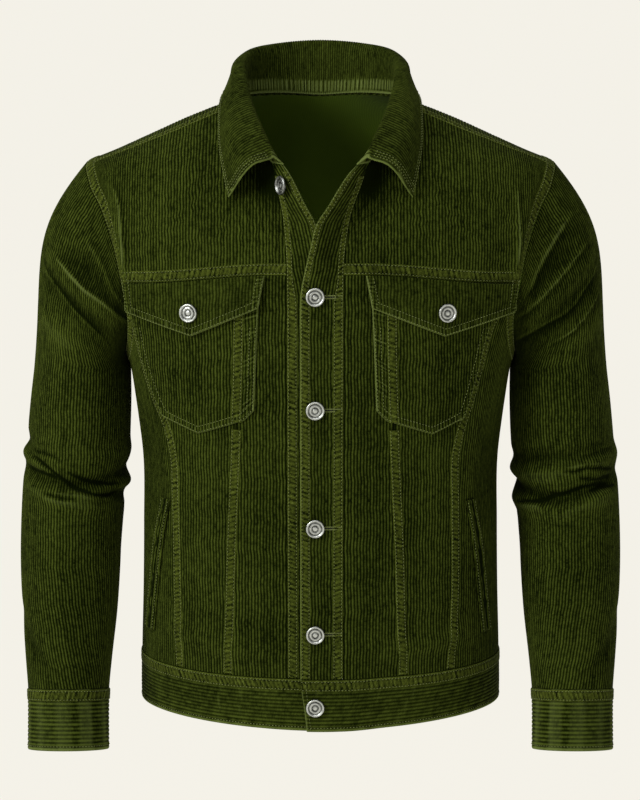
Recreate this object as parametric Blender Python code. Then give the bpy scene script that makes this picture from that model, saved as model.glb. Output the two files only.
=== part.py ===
"""A corduroy button-front jacket with flap pockets, filled out as if worn.

Metres, +Z up. The wearer faces -Y, so the wearer's left is at +X. The origin lies between the
shoulders, at the height of the highest points of the neck seam, where a wearer's shoulders carry
the jacket. Every cloth piece is a wall with an outer and an inner side, cut from one of three
forms: the torso, a sleeve or the collar.
"""

import math

import bmesh
import bpy
import numpy as np
from mathutils import Vector

# Cloth
CLOTH = 0.0020  # one layer of corduroy
DOUBLE = 0.0028  # a folded layer: waistband, cuffs, flaps and collar
PLACKET_THICK = 0.0024
FELL_RISE = 0.0008  # how far a felled seam stands over the cloth beside it
FELL_WIDTH = 0.011
SEAM_GAP = 0.0003  # between pieces that are sewn together
HALF = SEAM_GAP / 2
LAP = 0.0030  # how far the left front stands off where it laps over the right one
LAP_FADES = (0.030, 0.075)  # the lift fades between these distances from the centre front

# Heights
BAND_TOP = -0.5675
HEM = -0.6222
YOKE_SEAM = -0.1625
YOKE_DROP = 0.0105  # how much lower the yoke seam ends at the armhole
BACK_YOKE_SEAM = -0.160

# Front closure
FRONT_X = -0.0052  # the centre front line
PLACKET_OUT = 0.0148  # from the button line to the free edge
PLACKET_IN = 0.0271  # from the button line to the sewn edge
BUTTON_RADIUS = 0.0094

# The torso's level sections: height, half width, depth to the front, depth to the back, and how
# square the section is (2 is an ellipse)
TORSO = np.array(
    (
        (-0.6500, 0.1885, 0.1215, 0.1120, 1.70),
        (-0.6250, 0.1900, 0.1220, 0.1120, 1.74),
        (-0.5690, 0.1893, 0.1225, 0.1110, 2.05),
        (-0.5000, 0.1868, 0.1240, 0.1095, 2.25),
        (-0.4300, 0.1852, 0.1250, 0.1090, 2.38),
        (-0.3550, 0.1854, 0.1265, 0.1130, 2.40),
        (-0.3210, 0.1890, 0.1270, 0.1165, 2.40),
        (-0.3000, 0.1915, 0.1275, 0.1185, 2.40),
        (-0.2600, 0.1975, 0.1280, 0.1225, 2.40),
        (-0.2200, 0.2090, 0.1265, 0.1255, 2.40),
        (-0.1700, 0.2290, 0.1225, 0.1280, 2.40),
        (-0.1300, 0.2440, 0.1160, 0.1265, 2.40),
        (-0.1000, 0.2515, 0.1080, 0.1230, 2.40),
        (-0.0750, 0.2520, 0.0985, 0.1180, 2.40),
        (-0.0560, 0.2380, 0.0890, 0.1130, 2.40),
        (-0.0424, 0.2065, 0.0800, 0.1075, 2.40),
        (-0.0261, 0.1700, 0.0680, 0.1000, 2.40),
        (-0.0100, 0.1340, 0.0560, 0.0890, 2.40),
        (0.0010, 0.1060, 0.0460, 0.0800, 2.40),
        (0.0095, 0.0820, 0.0370, 0.0735, 2.40),
        (0.0200, 0.0500, 0.0250, 0.0620, 2.40),
        (0.0400, 0.0150, 0.0080, 0.0400, 2.40),
    )
)

OVER_HEIGHT = -0.100  # the line that the over-the-shoulder angle turns about
TURN_SCALE = 0.17  # metres per radian of turn, to measure lines of turns and heights

# Seams of the fronts, as distances from the centre front line: height, inner seam, outer seam on
# the wearer's left, outer seam on the wearer's right
FRONT_SEAMS = np.array(
    (
        (-0.5675, 0.0890, 0.1385, 0.1400),
        (-0.5000, 0.0860, 0.1420, 0.1408),
        (-0.4400, 0.0840, 0.1420, 0.1412),
        (-0.3900, 0.0815, 0.1410, 0.1420),
        (-0.3410, 0.0790, 0.1412, 0.1442),
        (-0.3150, 0.0780, 0.1470, 0.1505),
        (-0.2900, 0.0768, 0.1555, 0.1625),
        (-0.2550, 0.0755, 0.1650, 0.1745),
        (-0.2150, 0.0748, 0.1755, 0.1830),
        (-0.1730, 0.0745, 0.1980, 0.1895),
    )
)

# Seams of the back, as distances from the centre back: height, shaping seam
BACK_SEAMS = np.array(
    ((-0.5690, 0.0560), (-0.4500, 0.0640), (-0.3200, 0.0820), (-0.1600, 0.1120))
)

# The free front edges above the closed buttons: height, centre, half the opening, stand-off
OPENING = np.array(
    (
        (-0.2000, -0.0052, -0.0148, 0.0000),
        (-0.1800, -0.0052, -0.0140, 0.0015),
        (-0.1550, -0.0052, -0.0092, 0.0065),
        (-0.1330, -0.0047, -0.0045, 0.0140),
        (-0.1130, -0.0040, 0.0000, 0.0215),
        (-0.0940, -0.0032, 0.0110, 0.0275),
        (-0.0770, -0.0022, 0.0205, 0.0285),
        (-0.0635, -0.0012, 0.0290, 0.0250),
        (-0.0550, -0.0002, 0.0365, 0.0215),
    )
)
FLARE_REACH = 0.019  # how far from the edge the stand-off dies away
OPENING_TOP = -0.0565

# Neck seam, an oval in plan
NECK_HALF_WIDTH = 0.0790
NECK_FRONT = 0.1090
NECK_BACK = 0.0720
NECK_END = math.radians(53.5)  # where the seam meets the plackets, forward of the sides

# Shoulder seams, carried forward of the ridge: distance from the centre, place to the front
SHOULDER_SEAM = np.array(
    ((0.060, -0.0280), (0.100, -0.0350), (0.140, -0.0385), (0.190, -0.0370), (0.240, -0.0345))
)

# Armholes, ovals seen from the side
ARMHOLE_MIDDLE = -0.1520
ARMHOLE_HALF_HEIGHT = 0.0965
ARMHOLE_FRONT = 0.0725
ARMHOLE_BACK = 0.0810
ARMHOLE_FULLNESS = 0.72  # below 1, the oval is squarer than an ellipse
ARMHOLE_EGG = 0.06  # how much fuller the lower half is
SLEEVE_CLEAR = 0.0008  # sideways gap between the body and the sleeve

# Sleeve sections below the cap: height, outwards, towards the back, half width, half depth
SLEEVE = np.array(
    (
        (-0.2700, 0.2480, 0.0040, 0.0500, 0.0655),
        (-0.3000, 0.2500, 0.0035, 0.0520, 0.0640),
        (-0.3450, 0.2532, 0.0005, 0.0535, 0.0615),
        (-0.3900, 0.2570, -0.0060, 0.0540, 0.0595),
        (-0.4300, 0.2600, -0.0130, 0.0528, 0.0575),
        (-0.4700, 0.2612, -0.0210, 0.0518, 0.0560),
        (-0.5200, 0.2615, -0.0320, 0.0490, 0.0525),
        (-0.5700, 0.2622, -0.0440, 0.0444, 0.0465),
        (-0.6000, 0.2622, -0.0510, 0.0418, 0.0420),
        (-0.6600, 0.2618, -0.0650, 0.0412, 0.0380),
    )
)
CAP_TOP = SLEEVE[0, 0]
CAP_LEAVES = (0.85, 0.0, -1.00)  # how the sleeve leaves the top of the armhole
CAP_ARRIVES = (0.18, 0.0, -1.60)  # and how it arrives at the first level section
UNDERARM_LEAVES = (0.35, 0.0, -0.55)
UNDERARM_ARRIVES = (0.0, 0.0, -1.05)
CAP_LENGTHS = (0.0, 0.07, 0.16, 0.27, 0.39, 0.52, 0.67, 0.83, 1.0)
CUFF_TOP = -0.5985
CUFF_BOTTOM = SLEEVE[-1, 0]
FOREARM_LEAN = 0.26  # rise of the forward side of a lower section, per metre of depth

# Soft folds of a sleeve, on its unrolled cloth. Girth runs from the outer side (0) over the
# front (0.25) to the inner side (0.5): girth and height of both ends, depth, half width, and the
# sleeve (1 the wearer's left, -1 the right, 0 both)
SLEEVE_FOLDS = np.array(
    (
        (0.22, -0.118, 0.41, -0.186, -0.0030, 0.010, 0),
        (0.19, -0.128, 0.39, -0.198, 0.0030, 0.009, 0),
        (0.16, -0.144, 0.37, -0.208, -0.0038, 0.010, 0),
        (0.13, -0.155, 0.34, -0.220, 0.0032, 0.009, 0),
        (0.10, -0.168, 0.31, -0.231, -0.0035, 0.010, 0),
        (0.08, -0.205, 0.26, -0.248, 0.0028, 0.011, 0),
        (0.62, -0.225, 0.92, -0.150, -0.0035, 0.012, 0),
        (0.66, -0.270, 0.96, -0.205, -0.0030, 0.012, 0),
        (0.90, -0.342, 1.10, -0.344, -0.0030, 0.008, -1),
        (0.30, -0.356, 0.56, -0.354, 0.0022, 0.009, -1),
        (0.02, -0.352, 0.24, -0.380, 0.0030, 0.007, -1),
        (0.26, -0.384, 0.54, -0.373, -0.0042, 0.007, -1),
        (0.24, -0.391, 0.56, -0.386, 0.0050, 0.007, -1),
        (0.06, -0.366, 0.52, -0.402, -0.0060, 0.007, -1),
        (0.08, -0.384, 0.36, -0.409, 0.0030, 0.008, -1),
        (0.10, -0.345, 0.54, -0.363, -0.0034, 0.007, 1),
        (0.06, -0.352, 0.34, -0.372, 0.0030, 0.007, 1),
        (0.30, -0.378, 0.56, -0.374, 0.0036, 0.007, 1),
        (0.30, -0.398, 0.56, -0.385, -0.0050, 0.007, 1),
        (0.06, -0.376, 0.34, -0.400, -0.0052, 0.007, 1),
        (0.10, -0.392, 0.30, -0.412, 0.0034, 0.008, 1),
        (0.30, -0.410, 0.56, -0.404, 0.0042, 0.008, 1),
        (0.86, -0.356, 1.06, -0.358, 0.0026, 0.009, 0),
        (0.84, -0.374, 1.02, -0.372, -0.0030, 0.009, 0),
        (0.02, -0.517, 0.20, -0.575, -0.0028, 0.010, 0),
        (0.55, -0.460, 0.80, -0.535, -0.0030, 0.012, 0),
    )
)
SLEEVE_GIRTH = 0.36  # the girth that the folds' widths are measured on
ELBOW_LEVELS = (-0.338, -0.347, -0.356, -0.365, -0.374, -0.380, -0.3865, -0.395, -0.403, -0.411,
                -0.420, -0.430)

# Soft folds of the torso: sideways and height of both ends, front (-1) or back (1), depth, width
TORSO_FOLDS = np.array(
    (
        (0.222, -0.085, 0.205, -0.165, -1, -0.0035, 0.009),
        (0.205, -0.095, 0.192, -0.175, -1, 0.0030, 0.008),
        (0.200, -0.120, 0.188, -0.215, 1, 0.0035, 0.012),
        (0.160, -0.250, 0.120, -0.420, 1, -0.0030, 0.018),
        (0.178, -0.300, 0.165, -0.430, -1, -0.0025, 0.013),
        (0.150, -0.530, 0.060, -0.545, -1, 0.0025, 0.010),
        (0.060, -0.500, 0.160, -0.535, 1, 0.0040, 0.014),
        (0.170, -0.470, 0.120, -0.520, 1, -0.0030, 0.012),
    )
)

# Collar sections, from the front end to the centre back: share of the half collar, then the roll
# line, the middle of the fall and the outer edge, each outwards, back and up, then the roll's size
COLLAR = np.array(
    (
        (0.00, 0.0455, -0.1135, -0.0482, 0.0620, -0.1200, -0.0542, 0.0898, -0.1065, -0.0875,
         0.0034),
        (0.10, 0.0520, -0.0960, -0.0310, 0.0760, -0.1040, -0.0420, 0.0930, -0.0970, -0.0740,
         0.0036),
        (0.20, 0.0640, -0.0640, -0.0060, 0.0880, -0.0750, -0.0170, 0.0985, -0.0800, -0.0460,
         0.0040),
        (0.39, 0.0755, -0.0080, 0.0330, 0.0907, -0.0110, 0.0230, 0.1000, -0.0160, 0.0040,
         0.0046),
        (0.61, 0.0712, 0.0380, 0.0555, 0.0868, 0.0440, 0.0370, 0.0960, 0.0500, 0.0050,
         0.0048),
        (0.82, 0.0412, 0.0730, 0.0650, 0.0530, 0.0890, 0.0450, 0.0600, 0.0980, 0.0000,
         0.0050),
        (1.00, 0.0000, 0.0830, 0.0685, 0.0000, 0.1000, 0.0480, 0.0000, 0.1085, -0.0020,
         0.0050),
    )
)
COLLAR_PLACES = (0.0, 0.055, 0.11, 0.17, 0.23, 0.29, 0.35, 0.41, 0.47, 0.53, 0.59, 0.65, 0.71,
                 0.77, 0.82, 0.865, 0.9, 0.93, 0.965, 1.0)  # from the centre back to an end
COLLAR_KNOTS = (0.0, 0.16, 0.32, 0.37, 0.43, 0.49, 0.55, 0.76, 1.0)  # shares of a section
COLLAR_ROWS = (0.0, 0.16, 0.32, 0.37, 0.43, 0.49, 0.55, 0.65, 0.76, 0.88, 1.0)
COLLAR_STRIP = 0.10  # share of the half collar sewn to the placket's upper end
COLLAR_REST = 0.0034  # how far the fall stands off the body at least

# Flap pockets, as distances from the centre front line and heights
FLAP_INNER = ((0.0490, -0.1650), (0.0548, -0.1943))  # the inner end, top and bottom
FLAP_POINT = -0.2228
FLAP_OUTER = -0.2018
FLAP_INSET = 0.0050  # clear of the armhole
POUCH_LEFT = ((0.0555, -0.1980), (0.0597, -0.2950))
POUCH_BOTTOM = ((0.0597, -0.2950), (0.0696, -0.3050), (0.1154, -0.3206), (0.1485, -0.3065))
POUCH_THICK = 0.0014
POUCH_LIFT = 0.0010
WELT = ((0.1585, -0.3920), (0.1655, -0.4260), (0.1740, -0.5000), (0.1780, -0.5350))
WELT_LINE_X = -0.003  # the line that the welts are measured from
WELT_WIDTH = 0.0105
WELT_THICK = 0.0016

# Buttons
FLAP_BUTTON = -0.1995
BUTTON_HEIGHTS = (-0.1832, -0.2937, -0.4120, -0.5206, -0.5965)
NECK_BUTTON = (-0.0345, -0.0755)
NECK_BUTTON_TURN = 0.30  # how far it hangs over to the wearer's right on its shank
NECK_SHANK = 0.0030

# Looks: name, base colour, roughness, metallic

FABRIC = ("corduroy", (0.021, 0.029, 0.004, 1.0), 0.9, 0.0)
METAL = ("button_metal", (0.32, 0.33, 0.31, 1.0), 0.35, 1.0)


def through(table, at, column):
    """Smooth curve through a table's column, against its first column."""
    places, values = table[:, 0], table[:, column]
    slopes = np.gradient(values, places)
    at = np.clip(at, places[0], places[-1])
    i = np.clip(np.searchsorted(places, at) - 1, 0, len(places) - 2)
    span = places[i + 1] - places[i]
    s = (at - places[i]) / span
    return (
        (2 * s**3 - 3 * s**2 + 1) * values[i]
        + (s**3 - 2 * s**2 + s) * span * slopes[i]
        + (3 * s**2 - 2 * s**3) * values[i + 1]
        + (s**3 - s**2) * span * slopes[i + 1]
    )


def smoothstep(low, high, value):
    s = np.clip((value - low) / (high - low), 0, 1)
    return s * s * (3 - 2 * s)


def stack(*parts):
    return np.stack(np.broadcast_arrays(*parts), axis=-1)


def unit(vectors):
    return vectors / np.maximum(np.linalg.norm(vectors, axis=-1, keepdims=True), 1e-12)


# ---------------------------------------------------------------- torso form


def fullness(points):
    """1 on the torso's surface, less inside it and more outside."""
    x, y, z = np.moveaxis(points, -1, 0)
    depth = np.where(y < 0, through(TORSO, z, 2), through(TORSO, z, 3))
    power = through(TORSO, z, 4)
    return (np.abs(x) / through(TORSO, z, 1)) ** power + (np.abs(y) / depth) ** power


def torso_normal(points):
    step = 1e-5
    slopes = [
        fullness(points + offset) - fullness(points - offset) for offset in step * np.eye(3)
    ]
    return unit(stack(*slopes))


def around(turn, height):
    """Torso point at a turn round the body: -90 degrees at the front, 0 at the wearer's left."""
    cosine, sine = np.cos(turn), np.sin(turn)
    depth = np.where(sine < 0, through(TORSO, height, 2), through(TORSO, height, 3))
    power = 2 / through(TORSO, height, 4)
    return stack(
        through(TORSO, height, 1) * np.sign(cosine) * np.abs(cosine) ** power,
        depth * np.sign(sine) * np.abs(sine) ** power,
        height,
    )


def turn_at(x, height, side):
    """The turn of the torso point at x, on the front (side -1) or the back (1)."""
    share = np.clip(np.abs(x) / through(TORSO, height, 1), 0, 1)
    quarter = side * np.arccos(share ** (through(TORSO, height, 4) / 2))
    return np.where(x < 0, side * math.pi - quarter, quarter)


def over(x, angle):
    """Torso point at x and an angle over the shoulder: 0 straight up, negative to the front."""
    x, angle = np.broadcast_arrays(x, angle)
    low, high = np.zeros(x.shape), np.full(x.shape, 0.2)
    for _ in range(44):
        middle = (low + high) / 2
        inside = fullness(over_ray(x, angle, middle)) < 1
        low, high = np.where(inside, middle, low), np.where(inside, high, middle)
    return over_ray(x, angle, low)


def over_ray(x, angle, reach):
    return stack(x, reach * np.sin(angle), OVER_HEIGHT + reach * np.cos(angle))


def over_angle(points):
    return np.arctan2(points[..., 1], points[..., 2] - OVER_HEIGHT)


def on_plan(x, y):
    """Torso point above a place in plan, on the upper side."""
    x, y = np.broadcast_arrays(x, y)
    low, high = np.full(x.shape, OVER_HEIGHT), np.full(x.shape, TORSO[-1, 0])
    for _ in range(44):
        middle = (low + high) / 2
        inside = fullness(stack(x, y, middle)) < 1
        low, high = np.where(inside, middle, low), np.where(inside, high, middle)
    return stack(x, y, low)


def front(x, height):
    """Point of the torso's front at x."""
    power = through(TORSO, height, 4)
    share = (np.abs(x) / through(TORSO, height, 1)) ** power
    return stack(x, -through(TORSO, height, 2) * (1 - share) ** (1 / power), height)


def armhole(angle, side=1):
    """Armhole seam on the torso: angle 0 at the top, 90 degrees at the front, 180 below."""
    height = ARMHOLE_MIDDLE + ARMHOLE_HALF_HEIGHT * np.cos(angle)
    sine = np.sin(angle)
    reach = np.where(sine > 0, ARMHOLE_FRONT, ARMHOLE_BACK)
    y = -reach * np.sign(sine) * np.abs(sine) ** ARMHOLE_FULLNESS
    y = y * (1 - ARMHOLE_EGG * np.cos(angle))
    depth = np.where(y < 0, through(TORSO, height, 2), through(TORSO, height, 3))
    power = through(TORSO, height, 4)
    x = through(TORSO, height, 1) * (1 - (np.abs(y) / depth) ** power) ** (1 / power)
    return stack(side * x, y, height)


def crease_height(across, along, ends, depth, width):
    """Height of one soft fold at places on the cloth; it dies away past both ends."""
    (a0, b0), (a1, b1) = ends
    length = math.hypot(a1 - a0, b1 - b0)
    t = ((across - a0) * (a1 - a0) + (along - b0) * (b1 - b0)) / length**2
    side = ((across - a0) * (b1 - b0) - (along - b0) * (a1 - a0)) / length
    fade = smoothstep(-0.25, 0.3, t) * smoothstep(1.25, 0.7, t)
    return depth * fade * np.exp(-((side / width) ** 2))


def torso_relief(points):
    """Height of the torso's folds over its plain form, the same on both sides of the body."""
    x, y, z = np.moveaxis(points, -1, 0)
    total = np.zeros(x.shape)
    for x0, z0, x1, z1, side, depth, width in TORSO_FOLDS:
        height = crease_height(np.abs(x), z, ((x0, z0), (x1, z1)), depth, width)
        total += height * smoothstep(0.0, 0.05, side * y)
    return total


def lap(points):
    """Lift of the left front, which laps over the right one below the open neck."""
    near = 1 - smoothstep(*LAP_FADES, points[..., 0] - FRONT_X)
    return LAP * near * smoothstep(-0.096, -0.114, points[..., 2])


def flared(points):
    """Moves points of the fronts forward where the open neck edges stand off."""
    x, y, z = np.moveaxis(points, -1, 0)
    away = np.abs(x - through(OPENING, z, 1)) - np.maximum(through(OPENING, z, 2), 0)
    push = through(OPENING, z, 3) * np.exp(-((np.maximum(away, 0) / FLARE_REACH) ** 2))
    push = np.where(y < 0, push * smoothstep(-0.035, -0.056, z), 0)
    return points - stack(0 * push, push, 0 * push)


def torso_layer(base, height, laps=0.0):
    """Torso points moved out by a height, over the folds and the front's lap."""
    relief = torso_relief(base) + height
    if laps:
        relief = relief + laps * lap(base)
    return flared(base + torso_normal(base) * relief[..., None])


# ---------------------------------------------------------------- building


def material(name, colour, roughness, metallic):
    found = bpy.data.materials.get(name)
    if found:
        return found
    made = bpy.data.materials.new(name)
    made.use_nodes = True
    shader = made.node_tree.nodes["Principled BSDF"]
    shader.inputs["Base Color"].default_value = colour
    shader.inputs["Roughness"].default_value = roughness
    shader.inputs["Metallic"].default_value = metallic
    return made


def finished(name, mesh, look):
    """Writes a bmesh to a new smooth-shaded object with its material."""
    data = bpy.data.meshes.new(name)
    mesh.to_mesh(data)
    mesh.free()
    data.shade_smooth()
    data.set_sharp_from_angle(angle=math.radians(50))
    data.materials.append(material(*look))
    made = bpy.data.objects.new(name, data)
    bpy.context.scene.collection.objects.link(made)
    return made


def wall(name, outer, inner, look=FABRIC):
    """A closed cloth wall between two grids of points, columns by rows.

    Where the first and last columns meet, the wall closes into a tube.
    """
    columns, rows = outer.shape[0] - 1, outer.shape[1] - 1
    mesh = bmesh.new()
    bmesh.ops.create_grid(mesh, x_segments=columns, y_segments=rows, size=1)
    place = mesh.verts.layers.int.new("place")
    flat_outer = outer.transpose(1, 0, 2).reshape(-1, 3)
    flat_inner = inner.transpose(1, 0, 2).reshape(-1, 3)
    for index, vertex in enumerate(mesh.verts):
        vertex[place] = index
        vertex.co = flat_inner[index]
    if np.allclose(outer[0], outer[-1], atol=1e-7):
        bmesh.ops.remove_doubles(mesh, verts=mesh.verts[:], dist=1e-6)
    kept = set(mesh.verts)
    bmesh.ops.extrude_face_region(
        mesh, geom=mesh.faces[:] + mesh.edges[:] + mesh.verts[:], use_keep_orig=True
    )
    for vertex in mesh.verts:
        if vertex not in kept:
            vertex.co = flat_outer[vertex[place]]
    bmesh.ops.recalc_face_normals(mesh, faces=mesh.faces[:])
    return finished(name, mesh, look)


def measured(line, scale):
    """Shares of a line's length at its points; its first column is multiplied by a scale."""
    steps = np.linalg.norm(np.diff(line * (scale, 1), axis=0), axis=1)
    reach = np.concatenate([[0], np.cumsum(steps)])
    return reach / reach[-1]


def along(line, at, scale=1.0):
    """Points at shares of a line's length."""
    line = np.asarray(line, float)
    reach = measured(line, scale)
    return np.stack([np.interp(at, reach, c) for c in line.T], axis=-1)


def patch(bottom, top, left, right, columns, rows):
    """Grid of places inside four border lines, given at the shares of columns and rows."""
    low, high, near, far = bottom[:, None], top[:, None], left[None], right[None]
    q, r = columns[:, None, None], rows[None, :, None]
    corners = (1 - q) * ((1 - r) * low[0] + r * high[0]) + q * ((1 - r) * low[-1] + r * high[-1])
    return (1 - r) * low + r * high + (1 - q) * near + q * far - corners


def shares(count, *extra):
    """Even shares from 0 to 1, with extra ones put in."""
    return np.unique(np.round(np.concatenate([np.linspace(0, 1, count + 1), extra]), 5))


def with_extra(places, *extra):
    return np.unique(np.round(np.concatenate([places, extra]), 6))


def fell(distance):
    """Rise of a felled seam at a distance from the seam line."""
    return np.where(distance < FELL_WIDTH, FELL_RISE, 0.0)


# ---------------------------------------------------------------- torso pieces


def yoke_seam(x):
    """Height of the front yoke seam at x."""
    return YOKE_SEAM - YOKE_DROP * smoothstep(0.045, 0.195, np.abs(x))


def armhole_angle(height_at, low, high):
    """Angle where the armhole passes a height that may depend on x."""
    angles = np.linspace(low, high, 600)
    points = armhole(angles)
    miss = points[:, 2] - height_at(points[:, 0])
    order = np.argsort(miss)
    return float(np.interp(0, miss[order], angles[order]))


def side_turn(side):
    return 0.0 if side > 0 else -math.pi


def turns_at_x(x, height, side):
    return stack(turn_at(x, height, side), height)


def level(start, end, columns):
    """A line of turns and heights between two ends."""
    return start + (end - start) * columns[:, None]


def dress(name, base, rise=0.0, laps=0.0):
    """Makes a body piece from its places on the torso form."""
    return wall(name, torso_layer(base, rise, laps), torso_layer(base, -CLOTH, laps))


def seam_offset(column, side, heights):
    """Distance of a front seam from the centre front line."""
    if column == 1:
        return through(FRONT_SEAMS, heights, 1)
    column = 2 if side > 0 else 3
    corner = side * (side * CORNER[0] - FRONT_X)
    short = corner - FRONT_SEAMS[-1, column]
    return through(FRONT_SEAMS, heights, column) + short * smoothstep(-0.215, -0.173, heights)


def seam_line(column, side, gap, heights):
    """A front seam as turns and heights, moved sideways by a gap."""
    offset = seam_offset(column, side, heights) + gap
    return turns_at_x(FRONT_X + side * offset, heights, -1)


def under_yoke(start, end, columns, side):
    """The top of a front panel, a gap below the yoke seam."""
    turns = start[0] + (end[0] - start[0]) * columns
    heights = np.full(turns.shape, YOKE_SEAM)
    for _ in range(3):
        heights = yoke_seam(around(turns, heights)[:, 0]) - HALF
    return stack(turns, heights)


def rows_up(low, high, rows):
    return low + (high - low) * rows


def band_rise(base, side, column, top):
    """Rise of a felled band beside a front seam, below a height."""
    offset = side * (base[..., 0] - FRONT_X)
    away = offset - seam_offset(column, side, base[..., 2])
    return np.where((away > -1e-4) & (base[..., 2] < top), fell(away), 0.0)


def front_panel(name, side, near, far, columns, rows, column=0, top=0.0):
    bottom = level(near[0], far[0], columns)
    upper = under_yoke(near[-1], far[-1], columns, side)
    grid = patch(bottom, upper, near, far, columns, rows)
    base = around(grid[..., 0], grid[..., 1])
    rise = band_rise(base, side, column, top) if column else 0.0
    dress(name, base, rise, 1.0 if side > 0 else 0.0)


def make_fronts(side, word):
    low = BAND_TOP + HALF
    rows = shares(13)
    x = FRONT_X + side * (PLACKET_IN + HALF)
    heights = rows_up(low, float(yoke_seam(x)) - HALF, rows)
    near = turns_at_x(np.full(heights.shape, x), heights, -1)
    seam_top = float(yoke_seam(FRONT_X + side * seam_offset(1, side, YOKE_SEAM))) - HALF
    inner_heights = rows_up(low, seam_top, rows)
    far = seam_line(1, side, -HALF, inner_heights)
    front_panel(f"front_panel_centre_{word}", side, near, far, shares(3), rows)
    near = seam_line(1, side, HALF, inner_heights)
    outer_heights = rows_up(low, CORNER[2] - HALF, rows)
    far = seam_line(2, side, -HALF, outer_heights)
    columns = np.array((0.0, 0.185, 0.2, 0.4, 0.58, 0.74, 0.88, 1.0))
    front_panel(f"front_panel_middle_{word}", side, near, far, columns, rows, 1, -0.3140)
    make_side_front(side, word, rows, low)


def make_side_front(side, word, rows, low):
    """The panel from the outer front seam to the side seam, cut away under the arm."""
    heights = rows_up(low, CORNER[2] - HALF, rows)
    near = seam_line(2, side, HALF, heights)
    arc = armhole(nudged(ARM[6:13], 1, 0), side)
    quarter = np.arccos(round_share(arc))
    top = stack(-quarter if side > 0 else quarter - math.pi, arc[:, 2] - 1e-5)
    top[-1, 0] = side_turn(side) - side * HALF / 0.15
    near[-1] = top[0]
    far_heights = rows_up(low, top[-1, 1], rows)
    far = stack(np.full(far_heights.shape, top[-1, 0]), far_heights)
    columns = with_extra(measured(top, TURN_SCALE), 0.095, 0.110)
    upper = along(top, columns, TURN_SCALE)
    grid = patch(level(near[0], far[0], columns), upper, near, far, columns, rows)
    base = around(grid[..., 0], grid[..., 1])
    dress(f"front_panel_side_{word}", base, band_rise(base, side, 2, -0.18))


def round_share(points):
    """Cosine of the turn that gives a torso point its x, for points on the torso."""
    share = np.clip(np.abs(points[:, 0]) / through(TORSO, points[:, 2], 1), 0, 1)
    return share ** (through(TORSO, points[:, 2], 4) / 2)


def nudged(angles, first, last):
    """Armhole angles with the ends moved inwards by half a seam gap."""
    angles = angles.copy()
    angles[0] += first * HALF / ARMHOLE_HALF_HEIGHT
    angles[-1] -= last * HALF / ARMHOLE_HALF_HEIGHT
    return angles


def make_backs():
    """Three back panels below the back yoke."""
    low, high = BAND_TOP + HALF, BACK_YOKE_SEAM - HALF
    rows = shares(11)
    heights = rows_up(low, high, rows)
    seam = through(BACK_SEAMS, heights, 1)
    lines = {s: turns_at_x(s * (seam - HALF), heights, 1) for s in (-1, 1)}
    columns = shares(6)
    bottom = level(lines[1][0], lines[-1][0], columns)
    top = level(lines[1][-1], lines[-1][-1], columns)
    grid = patch(bottom, top, lines[1], lines[-1], columns, rows)
    dress("back_panel_centre", around(grid[..., 0], grid[..., 1]))
    for side, word in ((1, "left"), (-1, "right")):
        make_side_back(side, word, rows, low)


def make_side_back(side, word, rows, low):
    """The panel from the back shaping seam to the side seam."""
    high = BACK_YOKE_SEAM - HALF
    heights = rows_up(low, high, rows)
    seam = through(BACK_SEAMS, heights, 1) + HALF
    near = turns_at_x(side * seam, heights, 1)
    arc = armhole(nudged(ARM[12:19], 0, 1)[::-1], side)
    quarter = np.arccos(round_share(arc))
    curve = stack(quarter if side > 0 else math.pi - quarter, arc[:, 2] - 1e-5)
    curve[-1, 0] = (0.0 if side > 0 else math.pi) + side * HALF / 0.15
    curve[0, 1] = near[-1, 1]
    straight = level(near[-1], curve[0], np.linspace(0, 1, 5))
    top = np.concatenate([straight, curve[1:]])
    far_heights = rows_up(low, top[-1, 1], rows)
    far = stack(np.full(far_heights.shape, top[-1, 0]), far_heights)
    columns = with_extra(measured(top, TURN_SCALE), 0.055, 0.065)
    upper = along(top, columns, TURN_SCALE)
    grid = patch(level(near[0], far[0], columns), upper, near, far, columns, rows)
    base = around(grid[..., 0], grid[..., 1])
    away = side * base[..., 0] - through(BACK_SEAMS, base[..., 2], 1)
    rise = np.where((base[..., 1] > 0.05) & (away > -1e-4), fell(away), 0.0)
    dress(f"back_panel_side_{word}", base, rise)


def neck(angle):
    """Neck seam point on the torso: angle 0 at the wearer's left, 90 degrees at the back."""
    reach = np.where(np.sin(angle) < 0, NECK_FRONT, NECK_BACK)
    return on_plan(NECK_HALF_WIDTH * np.cos(angle), reach * np.sin(angle))


def shoulder(x):
    """Shoulder seam point at a distance x from the centre."""
    return on_plan(x, through(SHOULDER_SEAM, x, 1))


def shoulder_ends():
    """Neck and armhole angles where the shoulder seam ends."""
    turns = np.radians(np.linspace(-30, 0, 300))
    places = neck(turns)
    gap = places[:, 1] - through(SHOULDER_SEAM, places[:, 0], 1)
    neck_turn = float(np.interp(0, gap, turns))
    angles = np.linspace(0.05, 1.0, 300)
    holes = armhole(angles)
    miss = holes[:, 1] - through(SHOULDER_SEAM, holes[:, 0], 1)
    return neck_turn, float(np.interp(0, -miss, angles))


NECK_TURN, SHOULDER_ANGLE = shoulder_ends()
CORNER_ANGLE = armhole_angle(yoke_seam, 1.2, 2.4)
CORNER = armhole(CORNER_ANGLE)
BACK_CORNER_ANGLE = armhole_angle(lambda x: BACK_YOKE_SEAM + 0 * x, math.pi + 0.5, 2 * math.pi)
ARM = np.concatenate(
    [
        np.linspace(SHOULDER_ANGLE, CORNER_ANGLE, 7),
        np.linspace(CORNER_ANGLE, math.pi, 7)[1:],
        np.linspace(math.pi, BACK_CORNER_ANGLE, 7)[1:],
        np.linspace(BACK_CORNER_ANGLE, SHOULDER_ANGLE + 2 * math.pi, 9)[1:],
    ]
)


def domain(points):
    """x and over-the-shoulder angle of torso points."""
    return stack(points[..., 0], over_angle(points))


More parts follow.
